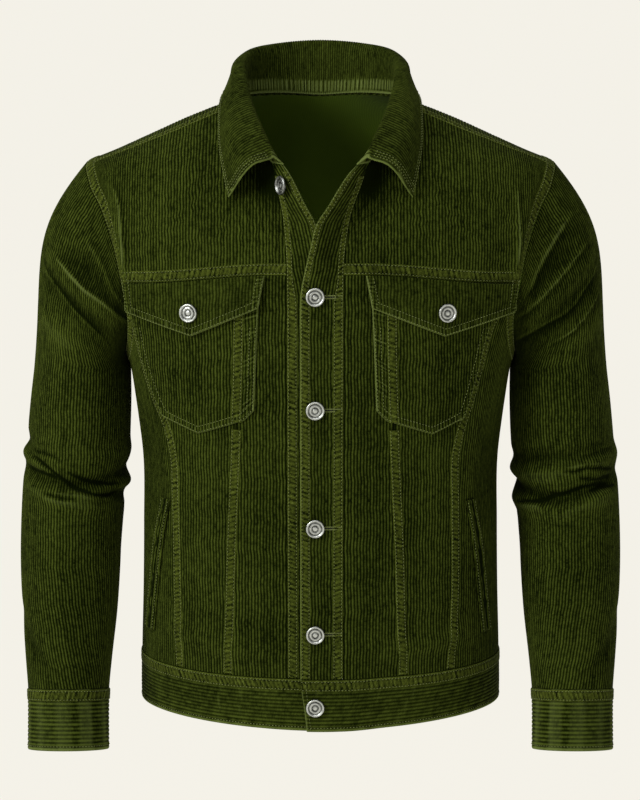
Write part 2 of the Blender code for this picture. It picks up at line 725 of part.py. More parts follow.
def over_patch(bottom, top, left, right, columns, rows):
    """Torso points inside four borders given as x and over-the-shoulder angle."""
    grid = patch(bottom, top, left, right, columns, rows)
    return over(grid[..., 0], grid[..., 1])


def metric(line):
    """Shares of a torso line's length at its points."""
    steps = np.linalg.norm(np.diff(line, axis=0), axis=1)
    reach = np.concatenate([[0], np.cumsum(steps)])
    return reach / reach[-1]


def at_shares(line, known, at):
    return np.stack([np.interp(at, known, c) for c in line.T], axis=-1)


NECK_CORNER = neck(-NECK_END)  # where the neck seam meets the sewn edge of a placket


def sewn_edge(height, side):
    """x of a placket's sewn edge."""
    lean = smoothstep(YOKE_SEAM, NECK_CORNER[2] + 0.030, height)
    lean = lean * 0.72 + 0.28 * smoothstep(-0.11, NECK_CORNER[2], height)
    return (FRONT_X + side * PLACKET_IN) * (1 - lean) + side * NECK_CORNER[0] * lean


def ridge_line(hole_x):
    """The shoulder seam from the neck to the armhole."""
    return shoulder(np.linspace(float(neck(NECK_TURN)[0]), hole_x, 9))


def make_front_yoke(side, word):
    start = float(FRONT_X + side * (PLACKET_IN + HALF))
    hole = armhole(nudged(ARM[:7], 1, 1)[::-1])
    neck_line = neck(np.linspace(-NECK_END + 0.003, NECK_TURN - 0.002, 6))
    ridge = ridge_line(hole[-1, 0])
    ridge[:, 1] -= HALF
    line = np.concatenate([neck_line[:-1], ridge[:-1], hole[-1:]]) * (side, 1, 1)
    columns = metric(line)
    top = domain(line)
    xs = start + (side * CORNER[0] - start) * np.linspace(0, 1, 60)
    bottom = at_shares(domain(front(xs, yoke_seam(xs) + HALF)), np.linspace(0, 1, 60), columns)
    right = domain(hole * (side, 1, 1))
    bottom[-1] = right[0]
    rows = with_extra(metric(hole), 0.062, 0.072)
    left_heights = rows_up(float(yoke_seam(start)) + HALF, line[0, 2], rows)
    left = domain(front(sewn_edge(left_heights, side) + side * HALF, left_heights))
    left[0], left[-1] = bottom[0], top[0]
    far = at_shares(right, metric(hole), rows)
    base = over_patch(bottom, top, left, far, columns, rows)
    rise = np.where(rows < 0.063, FELL_RISE, 0.0) * np.ones(base.shape[:-1])
    dress(f"front_yoke_{word}", base, rise, 1.0 if side > 0 else 0.0)


def make_back_yoke():
    """The yoke over both shoulders, laid out from the neck seam outwards."""
    hole = armhole(nudged(ARM[18:], 1, 1))
    height = BACK_YOKE_SEAM + HALF
    low_x = np.linspace(hole[0, 0], -hole[0, 0], 13)[1:-1]
    low = around(turn_at(low_x, np.full(low_x.shape, height), 1), height)
    outer = np.concatenate([hole[::-1], low, hole * (-1, 1, 1)])
    columns = metric(outer)
    angles = NECK_TURN + 0.003 + (math.pi - 2 * NECK_TURN - 0.006) * columns
    ridge = ridge_line(hole[-1, 0])
    ridge[:, 1] += HALF
    rows = metric(ridge[::-1])
    left = domain(ridge[::-1])
    right = domain(ridge[::-1] * (-1, 1, 1))
    bottom, top = domain(outer), domain(neck(angles))
    left[0], right[0] = bottom[0], bottom[-1]
    left[-1], right[-1] = top[0], top[-1]
    dress("back_yoke", over_patch(bottom, top, left, right, columns, rows))


def front_edge(height, side):
    """x of a front's free edge."""
    opening = np.where(
        height > OPENING[0, 0], through(OPENING, height, 2), OPENING[0, 2]
    )
    return through(OPENING, height, 1) + side * opening


def make_placket(side, word):
    low = BAND_TOP + HALF
    rows = np.concatenate([np.linspace(0, 0.68, 9), np.linspace(0.68, 1, 13)[1:]])
    sewn_heights = rows_up(low, NECK_CORNER[2] - HALF, rows)
    free_heights = rows_up(low, OPENING_TOP, rows)
    columns = shares(4)
    near = stack(sewn_edge(sewn_heights, side) - side * HALF, sewn_heights)
    far = stack(front_edge(free_heights, side), free_heights)
    bottom = level(near[0], far[0], columns)
    top = level(near[-1], far[-1], columns)
    grid = patch(bottom, top, near, far, columns, rows)
    base = front(grid[..., 0], grid[..., 1])
    laps = 1.0 if side > 0 else 0.0
    rise = 0.0002
    outer, inner = torso_layer(base, rise, laps), torso_layer(base, rise - PLACKET_THICK, laps)
    wall(f"placket_{word}", outer, inner)


def even_turns(start, end, count):
    """Turns that split the hem between two turns into even lengths."""
    fine = np.linspace(start, end, 2001)
    steps = np.linalg.norm(np.diff(around(fine, np.full(2001, HEM)), axis=0), axis=1)
    reach = np.concatenate([[0], np.cumsum(steps)])
    return np.interp(np.linspace(0, reach[-1], count + 1), reach, fine)


def make_waistband():
    """One strip round the hem, from the right end under the left one."""
    reach = PLACKET_OUT
    start = float(turn_at(FRONT_X + reach, BAND_TOP, -1))
    end = float(turn_at(FRONT_X - reach, BAND_TOP, -1))
    strip = even_turns(start, end - 2 * math.pi, 54)
    turn = strip[:, None]
    heights = np.linspace(HEM, BAND_TOP - HALF, 3)
    base = around(turn, np.broadcast_to(heights, (55, 3)))
    near = 1 - smoothstep(*LAP_FADES, base[..., 0] - FRONT_X)
    going = np.where(np.linspace(0, 1, 55)[:, None] > 0.75, near, 0.0)
    lift = going * (DOUBLE + SEAM_GAP + 0.0002)
    bulge = 0.0006
    outer = base + torso_normal(base) * (lift + bulge)[..., None]
    inner = base + torso_normal(base) * (lift + bulge - DOUBLE)[..., None]
    wall("waistband", outer, inner)


# ---------------------------------------------------------------- sleeves


def sleeve_section(angle, height):
    """Point of a sleeve section at the wearer's left: angle 0 outside, 90 degrees in front."""
    half_width, half_depth = through_sleeve(height, 3), through_sleeve(height, 4)
    forward = half_depth * np.sin(angle)
    lean = FOREARM_LEAN * smoothstep(-0.34, -0.56, height)
    return stack(
        through_sleeve(height, 1) + half_width * np.cos(angle),
        through_sleeve(height, 2) - forward,
        height + lean * forward,
    )


def through_sleeve(height, column):
    return through(SLEEVE[::-1], height, column)


def sleeve_form(angle, length):
    """Sleeve point: length 0 to 1 over the cap from the armhole, 1 to 2 down the arm."""
    angle, length = np.broadcast_arrays(angle, length)
    hole = armhole(angle)
    start = hole + torso_normal(hole) * torso_relief(hole)[..., None]
    start[..., 0] += SLEEVE_CLEAR
    end = sleeve_section(angle, np.full(angle.shape, CAP_TOP))
    chord = np.linalg.norm(end - start, axis=-1)[..., None]
    topness = ((1 + np.cos(angle)) / 2)[..., None]
    leave = np.array(CAP_LEAVES) * topness + np.array(UNDERARM_LEAVES) * (1 - topness)
    arrive = np.array(CAP_ARRIVES) * topness + np.array(UNDERARM_ARRIVES) * (1 - topness)
    s = np.clip(length, 0, 1)[..., None]
    cap = (
        (2 * s**3 - 3 * s**2 + 1) * start
        + (s**3 - 2 * s**2 + s) * chord * leave
        + (3 * s**2 - 2 * s**3) * end
        + (s**3 - s**2) * chord * arrive
    )
    arm = sleeve_section(angle, CAP_TOP + (CUFF_BOTTOM - CAP_TOP) * np.clip(length - 1, 0, 1))
    return np.where(length[..., None] < 1, cap, arm)


def sleeve_normal(angle, length):
    step = 1e-4
    round_it = sleeve_form(angle + step, length) - sleeve_form(angle - step, length)
    low, high = np.clip(length - step, 0, 2), np.clip(length + step, 0, 2)
    down_it = sleeve_form(angle, high) - sleeve_form(angle, low)
    return unit(np.cross(round_it, down_it))


def sleeve_relief(angle, points, sleeve):
    """Height of one sleeve's folds at a place."""
    girth = angle / (2 * math.pi)
    total = np.zeros(points.shape[:-1])
    for g0, z0, g1, z1, depth, width, side in SLEEVE_FOLDS:
        if side == -sleeve:
            continue
        ends = ((g0 * SLEEVE_GIRTH, z0), (g1 * SLEEVE_GIRTH, z1))
        for turn in (-1, 0, 1):
            across = (girth + turn) * SLEEVE_GIRTH
            total += crease_height(across, points[..., 2], ends, depth, width)
    return total * smoothstep(-0.060, -0.11, points[..., 2])


def sleeve_layer(angle, length, height, side):
    base = sleeve_form(angle, length)
    start_fade = smoothstep(0.0, 0.35, length)
    relief = sleeve_relief(angle, base, side) * start_fade + height
    points = base + sleeve_normal(angle, length) * relief[..., None]
    return points * (side, 1, 1)


def make_sleeve(side, word):
    angle = ARM[:, None]
    elbow = 1 + (np.array(ELBOW_LEVELS) - CAP_TOP) / (CUFF_BOTTOM - CAP_TOP)
    end = 1 + (CUFF_TOP - CAP_TOP) / (CUFF_BOTTOM - CAP_TOP)
    length = np.concatenate(
        [
            CAP_LENGTHS,
            np.linspace(1, elbow[0], 4)[1:-1],
            elbow,
            np.linspace(elbow[-1], end, 6)[1:],
        ]
    )[None, :]
    outer = sleeve_layer(angle, length, 0.0, side)
    inner = sleeve_layer(angle, length, -CLOTH, side)
    wall(f"sleeve_{word}", outer, inner)
    make_cuff(side, word, angle, end)


def make_cuff(side, word, angle, start):
    gap = SEAM_GAP / (CAP_TOP - CUFF_BOTTOM)
    length = np.linspace(start + gap, 2, 3)[None, :]
    outer = sleeve_layer(angle, length, 0.0008, side)
    inner = sleeve_layer(angle, length, 0.0008 - DOUBLE, side)
    wall(f"cuff_{word}", outer, inner)


# ---------------------------------------------------------------- collar


def neck_edge(place):
    """Middle of the body wall's upper edge under the collar, and the outward normal there."""
    side = np.where(place < 0, -1.0, 1.0)
    share = 1 - np.abs(place)
    strip = np.clip(share / COLLAR_STRIP, 0, 1)
    height = OPENING_TOP + (NECK_CORNER[2] - OPENING_TOP) * strip
    free = front_edge(np.full(place.shape, OPENING_TOP), side)
    x = free + (side * NECK_CORNER[0] - free) * strip
    turn = np.maximum(share - COLLAR_STRIP, 0) / (1 - COLLAR_STRIP)
    rest = neck(-NECK_END + turn * (NECK_END + math.pi / 2)) * stack(side, 1.0, 1.0)
    base = np.where(share[..., None] < COLLAR_STRIP, front(x, height), rest)
    return torso_layer(base, -CLOTH / 2), torso_normal(base)


def collar_sections(place):
    """Knots of the collar's sections from the neck seam over the roll to the outer edge."""
    side = np.where(place < 0, -1.0, 1.0)
    share = 1 - np.abs(place)
    mirrored = COLLAR[-2] * (1, -1, 1, 1, -1, 1, 1, -1, 1, 1, 1)
    mirrored[0] = 2 - mirrored[0]
    table = np.vstack([COLLAR, mirrored])
    flip = stack(side, 1.0, 1.0)
    roll, fall, edge = (
        stack(*(through(table, share, 1 + 3 * k + axis) for axis in range(3))) * flip
        for k in range(3)
    )
    radius = through(table, share, 10)[..., None]
    foot, normal = neck_edge(place)
    edge_way = unit(np.gradient(foot, axis=0))
    rise = roll - foot
    rise = unit(rise - edge_way * np.sum(rise * edge_way, axis=-1, keepdims=True))
    tilt = np.abs(np.sum(normal * rise, axis=-1, keepdims=True))
    near_end = 0.0006 * smoothstep(COLLAR_STRIP * 1.3, 0.0, share)[..., None]
    foot = foot + rise * (2 * SEAM_GAP + near_end + tilt * CLOTH / 2)
    rise = unit(roll - foot)
    drop = unit(fall - roll)
    turned = np.sum(drop * rise, axis=-1, keepdims=True)
    out = unit(drop - rise * turned)
    wide = radius * (1 - turned) / 2
    fall, edge = clear_of_body(fall, COLLAR_REST), clear_of_body(edge, COLLAR_REST)
    return np.stack(
        [
            foot,
            foot + (roll - foot - rise * radius) * 0.5,
            roll - rise * radius,
            roll - rise * radius * 0.3 + out * wide * 0.3,
            roll + out * wide,
            roll + out * wide * 1.7 + drop * radius * 0.35,
            roll + out * wide * 2 + drop * radius * 1.2,
            fall,
            edge,
        ],
        axis=0,
    )


def clear_of_body(points, clear):
    """Moves points out until they stand clear of the torso."""
    for _ in range(4):
        step = 1e-5
        slopes = stack(
            *(fullness(points + d) - fullness(points - d) for d in step * np.eye(3))
        ) / (2 * step)
        size = np.linalg.norm(slopes, axis=-1)
        away = (fullness(points) - 1) / size
        push = np.maximum(clear - away, 0) / size
        points = points + slopes * push[..., None]
    return points


def collar_grid(place, across):
    """Collar points at places -1 to 1 along it and shares 0 to 1 across it."""
    knots = collar_sections(place)
    steps = np.linalg.norm(np.diff(knots, axis=0), axis=-1)
    chords = np.concatenate([np.zeros((1, place.size)), np.cumsum(steps, axis=0)])
    grid = np.empty((place.size, across.size, 3))
    for i in range(place.size):
        where = np.interp(across, COLLAR_KNOTS, chords[:, i])
        table = np.column_stack([chords[:, i], knots[:, i]])
        grid[i] = stack(*(through(table, where, axis) for axis in (1, 2, 3)))
    return grid


def grid_normal(grid):
    """Normals of a grid of points, from its columns and rows."""
    return unit(np.cross(np.gradient(grid, axis=0), np.gradient(grid, axis=1)))


def make_collar():
    half = np.array(COLLAR_PLACES)
    grid = collar_grid(np.concatenate([-half[:0:-1], half]), np.array(COLLAR_ROWS))
    normal = grid_normal(grid) * DOUBLE / 2
    wall("collar", grid - normal, grid + normal)


# ---------------------------------------------------------------- pockets and buttons


def on_front(name, side, grid, low_height, high_height):
    """A piece that lies on a front: a grid of offsets and heights, moved out from the panel."""
    base = around(turn_at(FRONT_X + side * grid[..., 0], grid[..., 1], -1), grid[..., 1])
    laps = 1.0 if side > 0 else 0.0
    return wall(name, torso_layer(base, high_height, laps), torso_layer(base, low_height, laps))


def make_pocket(side, word):
    """A pointed flap and the pointed patch below it."""
    outer_x = side * (side * CORNER[0] - FRONT_X) - FLAP_INSET
    (inner_x, _), inner_corner = FLAP_INNER
    columns = shares(10)
    top_x = inner_x + (outer_x - inner_x) * columns
    top = stack(top_x, yoke_seam(FRONT_X + side * top_x) - 2 * SEAM_GAP)
    point = ((inner_corner[0] + outer_x - 0.003) / 2, FLAP_POINT)
    corners = np.array((inner_corner, point, (outer_x - 0.0030, FLAP_OUTER)))
    low = along(corners, columns)
    rows = shares(3)
    near, far = level(low[0], top[0], rows), level(low[-1], top[-1], rows)
    grid = patch(low, top, near, far, columns, rows)
    under = POUCH_LIFT + POUCH_THICK + SEAM_GAP
    lift = 0.0013 * (1 - rows)[None, :]
    on_front(f"pocket_flap_{word}", side, grid, under + lift, under + DOUBLE + lift)
    make_pouch(side, word)


def make_pouch(side, word):
    rows = shares(6)
    heights = rows_up(POUCH_BOTTOM[-1][1], -0.1900, rows)
    far = stack(seam_offset(2, side, heights) - 0.0020, heights)
    inner = np.array((POUCH_BOTTOM[0], POUCH_LEFT[0], (FLAP_INNER[0][0] + 0.004, -0.1690)))
    near = along(inner, rows)
    bottom = np.array((*POUCH_BOTTOM[:-1], tuple(far[0])))
    columns = with_extra(measured(bottom, 1), *shares(8))
    low = along(bottom, columns)
    top_x = near[-1, 0] + (far[-1, 0] - near[-1, 0]) * columns
    top = stack(top_x, near[-1, 1] + (far[-1, 1] - near[-1, 1]) * columns)
    grid = patch(low, top, near, far, columns, rows)
    on_front(f"pocket_pouch_{word}", side, grid, POUCH_LIFT, POUCH_LIFT + POUCH_THICK)


def make_welt(side, word):
    """The slanted edge of a hand pocket, a strip that lies on the side panel."""
    rows = shares(8)
    outer = along(np.array(WELT)[::-1], rows)
    outer[:, 0] += side * (WELT_LINE_X - FRONT_X)
    q = shares(2)[:, None]
    grid = stack(outer[None, :, 0] - WELT_WIDTH * (1 - q), outer[None, :, 1])
    low = FELL_RISE + 2 * SEAM_GAP
    on_front(f"pocket_welt_{word}", side, grid, low, low + WELT_THICK)


def make_button(name, place, normal, shank=0.0):
    """A shank button: a domed rim round a shallow dish, on a shank of the length that shows."""
    radius = BUTTON_RADIUS
    profile = (
        (0.0, 0.0030),
        (0.62 * radius, 0.0026),
        (0.80 * radius, 0.0033),
        (radius, 0.0020),
        (0.80 * radius, 0.0008),
        (0.45 * radius, 0.0),
        (0.27 * radius, 0.0 - shank),
        (0.0, 0.0 - shank),
    )
    mesh = bmesh.new()
    verts = [mesh.verts.new((r, 0, z)) for r, z in profile]
    edges = [mesh.edges.new(pair) for pair in zip(verts, verts[1:])]
    bmesh.ops.spin(
        mesh, geom=verts + edges, cent=(0, 0, 0), axis=(0, 0, 1), angle=2 * math.pi,
        steps=12, use_merge=True, use_duplicate=False,
    )
    bmesh.ops.remove_doubles(mesh, verts=mesh.verts[:], dist=1e-6)
    bmesh.ops.recalc_face_normals(mesh, faces=mesh.faces[:])
    made = finished(name, mesh, METAL)
    made.location = place
    made.rotation_mode = "QUATERNION"
    made.rotation_quaternion = direction(normal).to_track_quat("Z", "Y")
    return made


def direction(vector):
    return Vector([float(v) for v in vector])


def surface_frame(x, height, lift, laps):
    """Place and normal of the dressed front at x, over its layers."""
    step = 0.004
    offsets = ((0, 0), (step, 0), (-step, 0), (0, step), (0, -step))
    base = front(
        np.array([x + dx for dx, _ in offsets]), np.array([height + dz for _, dz in offsets])
    )
    dressed = torso_layer(base, lift, laps)
    normal = unit(np.cross(dressed[1] - dressed[2], dressed[3] - dressed[4]))
    return dressed[0] + normal * SEAM_GAP, normal


def make_buttons():
    for number, height in enumerate(BUTTON_HEIGHTS, start=1):
        lift = 0.0008
        place, normal = surface_frame(FRONT_X, height, lift, 1.0)
        make_button(f"button_front_{number}", place, normal)
    place, normal = surface_frame(NECK_BUTTON[0], NECK_BUTTON[1], 0.0006, 0.0)
    hanging = unit(normal - np.array((NECK_BUTTON_TURN, 0.0, 0.0)))
    middle = place - normal * 0.0001 + hanging * NECK_SHANK
    make_button("button_neck", middle, hanging, NECK_SHANK)
    for side, word in ((1, "left"), (-1, "right")):
        lift = POUCH_LIFT + POUCH_THICK + SEAM_GAP + DOUBLE + 0.0013 * 0.45
        x = (side * (CORNER[0] - FLAP_INSET) + FRONT_X + side * FLAP_INNER[1][0]) / 2
        place, normal = surface_frame(x, FLAP_BUTTON, lift, 1.0 if side > 0 else 0.0)
        make_button(f"button_flap_{word}", place, normal)


def clear_scene():
    for found in list(bpy.data.objects):
        bpy.data.objects.remove(found)


def main():
    clear_scene()
    for side, word in ((1, "left"), (-1, "right")):
        make_fronts(side, word)
        make_front_yoke(side, word)
        make_placket(side, word)
        make_pocket(side, word)
        make_welt(side, word)
        make_sleeve(side, word)
    make_backs()
    make_back_yoke()
    make_waistband()
    make_collar()
    make_buttons()


if __name__ == "__main__":
    main()
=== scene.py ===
"""A corduroy button-front jacket: its cloth, seams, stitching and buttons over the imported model.

Metres, +Z up. The wearer faces -Y, so the wearer's left is at +X. Every cloth piece is a thin shell
of its own: the wales stand on its outer side, and its inner side is plain.
"""

import math

import bmesh
import bpy
import numpy as np
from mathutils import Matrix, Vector


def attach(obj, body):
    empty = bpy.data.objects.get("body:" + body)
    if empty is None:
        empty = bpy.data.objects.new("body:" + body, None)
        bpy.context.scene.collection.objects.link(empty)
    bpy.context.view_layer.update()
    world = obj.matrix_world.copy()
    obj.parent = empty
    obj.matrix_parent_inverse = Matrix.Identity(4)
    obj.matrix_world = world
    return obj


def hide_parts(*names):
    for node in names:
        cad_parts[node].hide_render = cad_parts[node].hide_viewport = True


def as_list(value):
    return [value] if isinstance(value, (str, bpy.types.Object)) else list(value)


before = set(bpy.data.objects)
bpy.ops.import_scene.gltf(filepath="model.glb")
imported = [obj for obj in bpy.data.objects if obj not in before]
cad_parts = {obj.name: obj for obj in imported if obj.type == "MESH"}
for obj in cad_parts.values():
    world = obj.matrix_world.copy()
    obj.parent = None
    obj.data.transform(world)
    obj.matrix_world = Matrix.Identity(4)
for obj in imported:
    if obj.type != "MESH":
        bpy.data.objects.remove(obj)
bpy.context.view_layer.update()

bl_info = {
    "name": "Corduroy Jacket",
    "version": (1, 0, 0),
    "blender": (4, 5, 0),
    "location": "View3D > Sidebar > Jacket",
    "description": "Makes a corduroy jacket with wales, felled seams, stitching and ringed buttons",
    "category": "Add Mesh",
}

SIDES = ((1, "left"), (-1, "right"))

# Cloth
CLOTH = 0.002  # one layer of corduroy
DOUBLE = 0.0028  # a folded layer: waistband, cuffs, flaps and collar
PLACKET_THICK = 0.0024
FELL_RISE = 0.0008  # how far a felled seam stands over the cloth beside it
SEAM_GAP = 0.0003  # between pieces that are sewn together
SEAM_SPACING = 0.00125  # between points along a seam
STITCH_WIDE, STITCH_HIGH = 0.00042, 0.0004  # half of a stitch's width and height
STITCH_LIFT = 0.00012
BAR_GAP, BAR_WIDE, BAR_HALF = 0.00065, 0.00034, 0.00105  # thread bars of the buttonholes
HALF = SEAM_GAP / 2
LAP = 0.003  # how far the left front stands off where it laps over the right one
LAP_FADES = (0.03, 0.075)  # the lift fades between these distances from the centre front

# Heights
BAND_TOP = -0.5675
HEM = -0.6222
YOKE_SEAM = -0.1625
YOKE_DROP = 0.0105  # how much lower the yoke seam ends at the armhole
BACK_YOKE_SEAM = -0.16

# Front closure
FRONT_X = -0.0052  # the centre front line
PLACKET_OUT = 0.0148  # from the button line to the free edge
PLACKET_IN = 0.0271  # from the button line to the sewn edge
BUTTON_RADIUS = 0.0094


def in_metres(*rows, plain=()):
    """A table given in millimetres, in metres; its plain columns stay as they are."""
    table = np.array(rows, float)
    return table / [1 if i in plain else 1000 for i in range(table.shape[1])]


# The torso's level sections: height, half width, depth to the front, depth to the back, and how
# square the section is (2 is an ellipse)
TORSO = in_metres(
    (-650, 188.5, 121.5, 112, 1.7), (-625, 190, 122, 112, 1.74), (-569, 189.3, 122.5, 111, 2.05),
    (-500, 186.8, 124, 109.5, 2.25), (-430, 185.2, 125, 109, 2.38), (-355, 185.4, 126.5, 113, 2.4),
    (-321, 189, 127, 116.5, 2.4), (-300, 191.5, 127.5, 118.5, 2.4), (-260, 197.5, 128, 122.5, 2.4),
    (-220, 209, 126.5, 125.5, 2.4), (-170, 229, 122.5, 128, 2.4), (-130, 244, 116, 126.5, 2.4),
    (-100, 251.5, 108, 123, 2.4), (-75, 252, 98.5, 118, 2.4), (-56, 238, 89, 113, 2.4),
    (-42.4, 206.5, 80, 107.5, 2.4), (-26.1, 170, 68, 100, 2.4), (-10, 134, 56, 89, 2.4),
    (1, 106, 46, 80, 2.4), (9.5, 82, 37, 73.5, 2.4), (20, 50, 25, 62, 2.4), (40, 15, 8, 40, 2.4),
    plain=(4,),
)

OVER_HEIGHT = -0.1  # the line that the over-the-shoulder angle turns about
TURN_SCALE = 0.17  # metres per radian of turn, to measure lines of turns and heights

# Seams of the fronts, as distances from the centre front line: height, inner seam, outer seam on
# the wearer's left, outer seam on the wearer's right
FRONT_SEAMS = in_metres(
    (-567.5, 89, 138.5, 140), (-500, 86, 142, 140.8), (-440, 84, 142, 141.2),
    (-390, 81.5, 141, 142), (-341, 79, 141.2, 144.2), (-315, 78, 147, 150.5),
    (-290, 76.8, 155.5, 162.5), (-255, 75.5, 165, 174.5), (-215, 74.8, 175.5, 183),
    (-173, 74.5, 198, 189.5),
)

# Seams of the back, as distances from the centre back: height, shaping seam
BACK_SEAMS = in_metres((-569, 56), (-450, 64), (-320, 82), (-160, 112))

# The free front edges above the closed buttons: height, centre, half the opening, stand-off
OPENING = in_metres(
    (-200, -5.2, -14.8, 0), (-180, -5.2, -14, 1.5), (-155, -5.2, -9.2, 6.5), (-133, -4.7, -4.5, 14),
    (-113, -4, 0, 21.5), (-94, -3.2, 11, 27.5), (-77, -2.2, 20.5, 28.5), (-63.5, -1.2, 29, 25),
    (-55, -0.2, 36.5, 21.5),
)
FLARE_REACH = 0.019  # how far from the edge the stand-off dies away
OPENING_TOP = -0.0565

# Neck seam, an oval in plan
NECK_HALF_WIDTH = 0.079
NECK_FRONT = 0.109
NECK_BACK = 0.072
NECK_END = math.radians(53.5)  # where the seam meets the plackets, forward of the sides

# Shoulder seams, carried forward of the ridge: distance from the centre, place to the front
SHOULDER_SEAM = in_metres((60, -28), (100, -35), (140, -38.5), (190, -37), (240, -34.5))

# Armholes, ovals seen from the side
ARMHOLE_MIDDLE = -0.152
ARMHOLE_HALF_HEIGHT = 0.0965
ARMHOLE_FRONT = 0.0725
ARMHOLE_BACK = 0.081
ARMHOLE_FULLNESS = 0.72  # below 1, the oval is squarer than an ellipse
ARMHOLE_EGG = 0.06  # how much fuller the lower half is
SLEEVE_CLEAR = 0.0008  # sideways gap between the body and the sleeve

# Sleeve sections up to the cap: height, outwards, towards the back, half width, half depth
SLEEVE = in_metres(
    (-660, 261.8, -65, 41.2, 38), (-600, 262.2, -51, 41.8, 42), (-570, 262.2, -44, 44.4, 46.5),
    (-520, 261.5, -32, 49, 52.5), (-470, 261.2, -21, 51.8, 56), (-430, 260, -13, 52.8, 57.5),
    (-390, 257, -6, 54, 59.5), (-345, 253.2, 0.5, 53.5, 61.5), (-300, 250, 3.5, 52, 64),
    (-270, 248, 4, 50, 65.5),
)
CAP_TOP = SLEEVE[-1, 0]
CAP_LEAVES = (0.85, 0, -1)  # how the sleeve leaves the top of the armhole
CAP_ARRIVES = (0.18, 0, -1.6)  # and how it arrives at the first level section
UNDERARM_LEAVES = (0.35, 0, -0.55)
UNDERARM_ARRIVES = (0, 0, -1.05)
CUFF_TOP = -0.5985
CUFF_BOTTOM = SLEEVE[0, 0]
CUFF_LIFT = 0.0008  # how far a cuff stands off the sleeve's form
FOREARM_LEAN = 0.26  # rise of the forward side of a lower section, per metre of depth

# Soft folds of a sleeve, on its unrolled cloth. Girth runs from the outer side (0) over the
# front (250) to the inner side (500): girth and height of both ends, depth, half width, and the
# sleeve (1 the wearer's left, -1 the right, 0 both)
SLEEVE_FOLDS = in_metres(
    (220, -118, 410, -186, -3, 10, 0), (190, -128, 390, -198, 3, 9, 0),
    (160, -144, 370, -208, -3.8, 10, 0), (130, -155, 340, -220, 3.2, 9, 0),
    (100, -168, 310, -231, -3.5, 10, 0), (80, -205, 260, -248, 2.8, 11, 0),
    (620, -225, 920, -150, -3.5, 12, 0), (660, -270, 960, -205, -3, 12, 0),
    (900, -342, 1100, -344, -3, 8, -1), (300, -356, 560, -354, 2.2, 9, -1),
    (20, -352, 240, -380, 3, 7, -1), (260, -384, 540, -373, -4.2, 7, -1),
    (240, -391, 560, -386, 5, 7, -1), (60, -366, 520, -402, -6, 7, -1),
    (80, -384, 360, -409, 3, 8, -1), (100, -345, 540, -363, -3.4, 7, 1),
    (60, -352, 340, -372, 3, 7, 1), (300, -378, 560, -374, 3.6, 7, 1),
    (300, -398, 560, -385, -5, 7, 1), (60, -376, 340, -400, -5.2, 7, 1),
    (100, -392, 300, -412, 3.4, 8, 1), (300, -410, 560, -404, 4.2, 8, 1),
    (860, -356, 1060, -358, 2.6, 9, 0), (840, -374, 1020, -372, -3, 9, 0),
    (20, -517, 200, -575, -2.8, 10, 0), (550, -460, 800, -535, -3, 12, 0), plain=(6,),
)
SLEEVE_GIRTH = 0.36  # the girth that the folds' widths are measured on

# Soft folds of the torso: sideways and height of both ends, front (-1) or back (1), depth, width
TORSO_FOLDS = in_metres(
    (222, -85, 205, -165, -1, -3.5, 9), (205, -95, 192, -175, -1, 3, 8),
    (200, -120, 188, -215, 1, 3.5, 12), (160, -250, 120, -420, 1, -3, 18),
    (178, -300, 165, -430, -1, -2.5, 13), (150, -530, 60, -545, -1, 2.5, 10),
    (60, -500, 160, -535, 1, 4, 14), (170, -470, 120, -520, 1, -3, 12), plain=(4,),
)

# Collar sections, from the front end to the centre back: share of the half collar, then the roll
# line, the middle of the fall and the outer edge, each outwards, back and up, then the roll's size
COLLAR = in_metres(
    (0, 45.5, -113.5, -48.2, 62, -120, -54.2, 89.8, -106.5, -87.5, 3.4),
    (0.1, 52, -96, -31, 76, -104, -42, 93, -97, -74, 3.6),
    (0.2, 64, -64, -6, 88, -75, -17, 98.5, -80, -46, 4),
    (0.39, 75.5, -8, 33, 90.7, -11, 23, 100, -16, 4, 4.6),
    (0.61, 71.2, 38, 55.5, 86.8, 44, 37, 96, 50, 5, 4.8),
    (0.82, 41.2, 73, 65, 53, 89, 45, 60, 98, 0, 5),
    (1, 0, 83, 68.5, 0, 100, 48, 0, 108.5, -2, 5),
    plain=(0,),
)
COLLAR_KNOTS = (0, 0.16, 0.32, 0.37, 0.43, 0.49, 0.55, 0.76, 1)  # shares of a section
COLLAR_STRIP = 0.1  # share of the half collar sewn to the placket's upper end
COLLAR_REST = 0.0034  # how far the fall stands off the body at least

# Flap pockets, as distances from the centre front line and heights
FLAP_INNER = ((0.049, -0.165), (0.0548, -0.1943))  # the inner end, top and bottom
FLAP_POINT = -0.2228
FLAP_OUTER = -0.2018
FLAP_INSET = 0.005  # clear of the armhole
POUCH_LEFT = (0.0555, -0.198)  # on the inner edge, under the flap's corner
POUCH_BOTTOM = ((0.0597, -0.295), (0.0696, -0.305), (0.1154, -0.3206), (0.1485, -0.3065))
POUCH_THICK = 0.0014
POUCH_LIFT = 0.001
WELT = ((0.1585, -0.392), (0.1655, -0.426), (0.174, -0.5), (0.178, -0.535))
WELT_LINE_X = -0.003  # the line that the welts are measured from
WELT_WIDTH = 0.0105
WELT_THICK = 0.0016
WELT_LIFT = FELL_RISE + 2 * SEAM_GAP
FLAP_LIFT = POUCH_LIFT + POUCH_THICK + SEAM_GAP
FLAP_LEAN = 0.0013  # how much further a flap's lower edge stands off
POCKET_GRAIN = 0.1  # the line that the wales of flaps and pouches run beside

# Buttons
FLAP_BUTTON = -0.1995
BUTTON_HEIGHTS = (-0.1832, -0.2937, -0.412, -0.5206, -0.5965)
NECK_BUTTON = (-0.0345, -0.0755)
NECK_BUTTON_TURN = 0.3  # how far it hangs over to the wearer's right on its shank
NECK_SHANK = 0.003


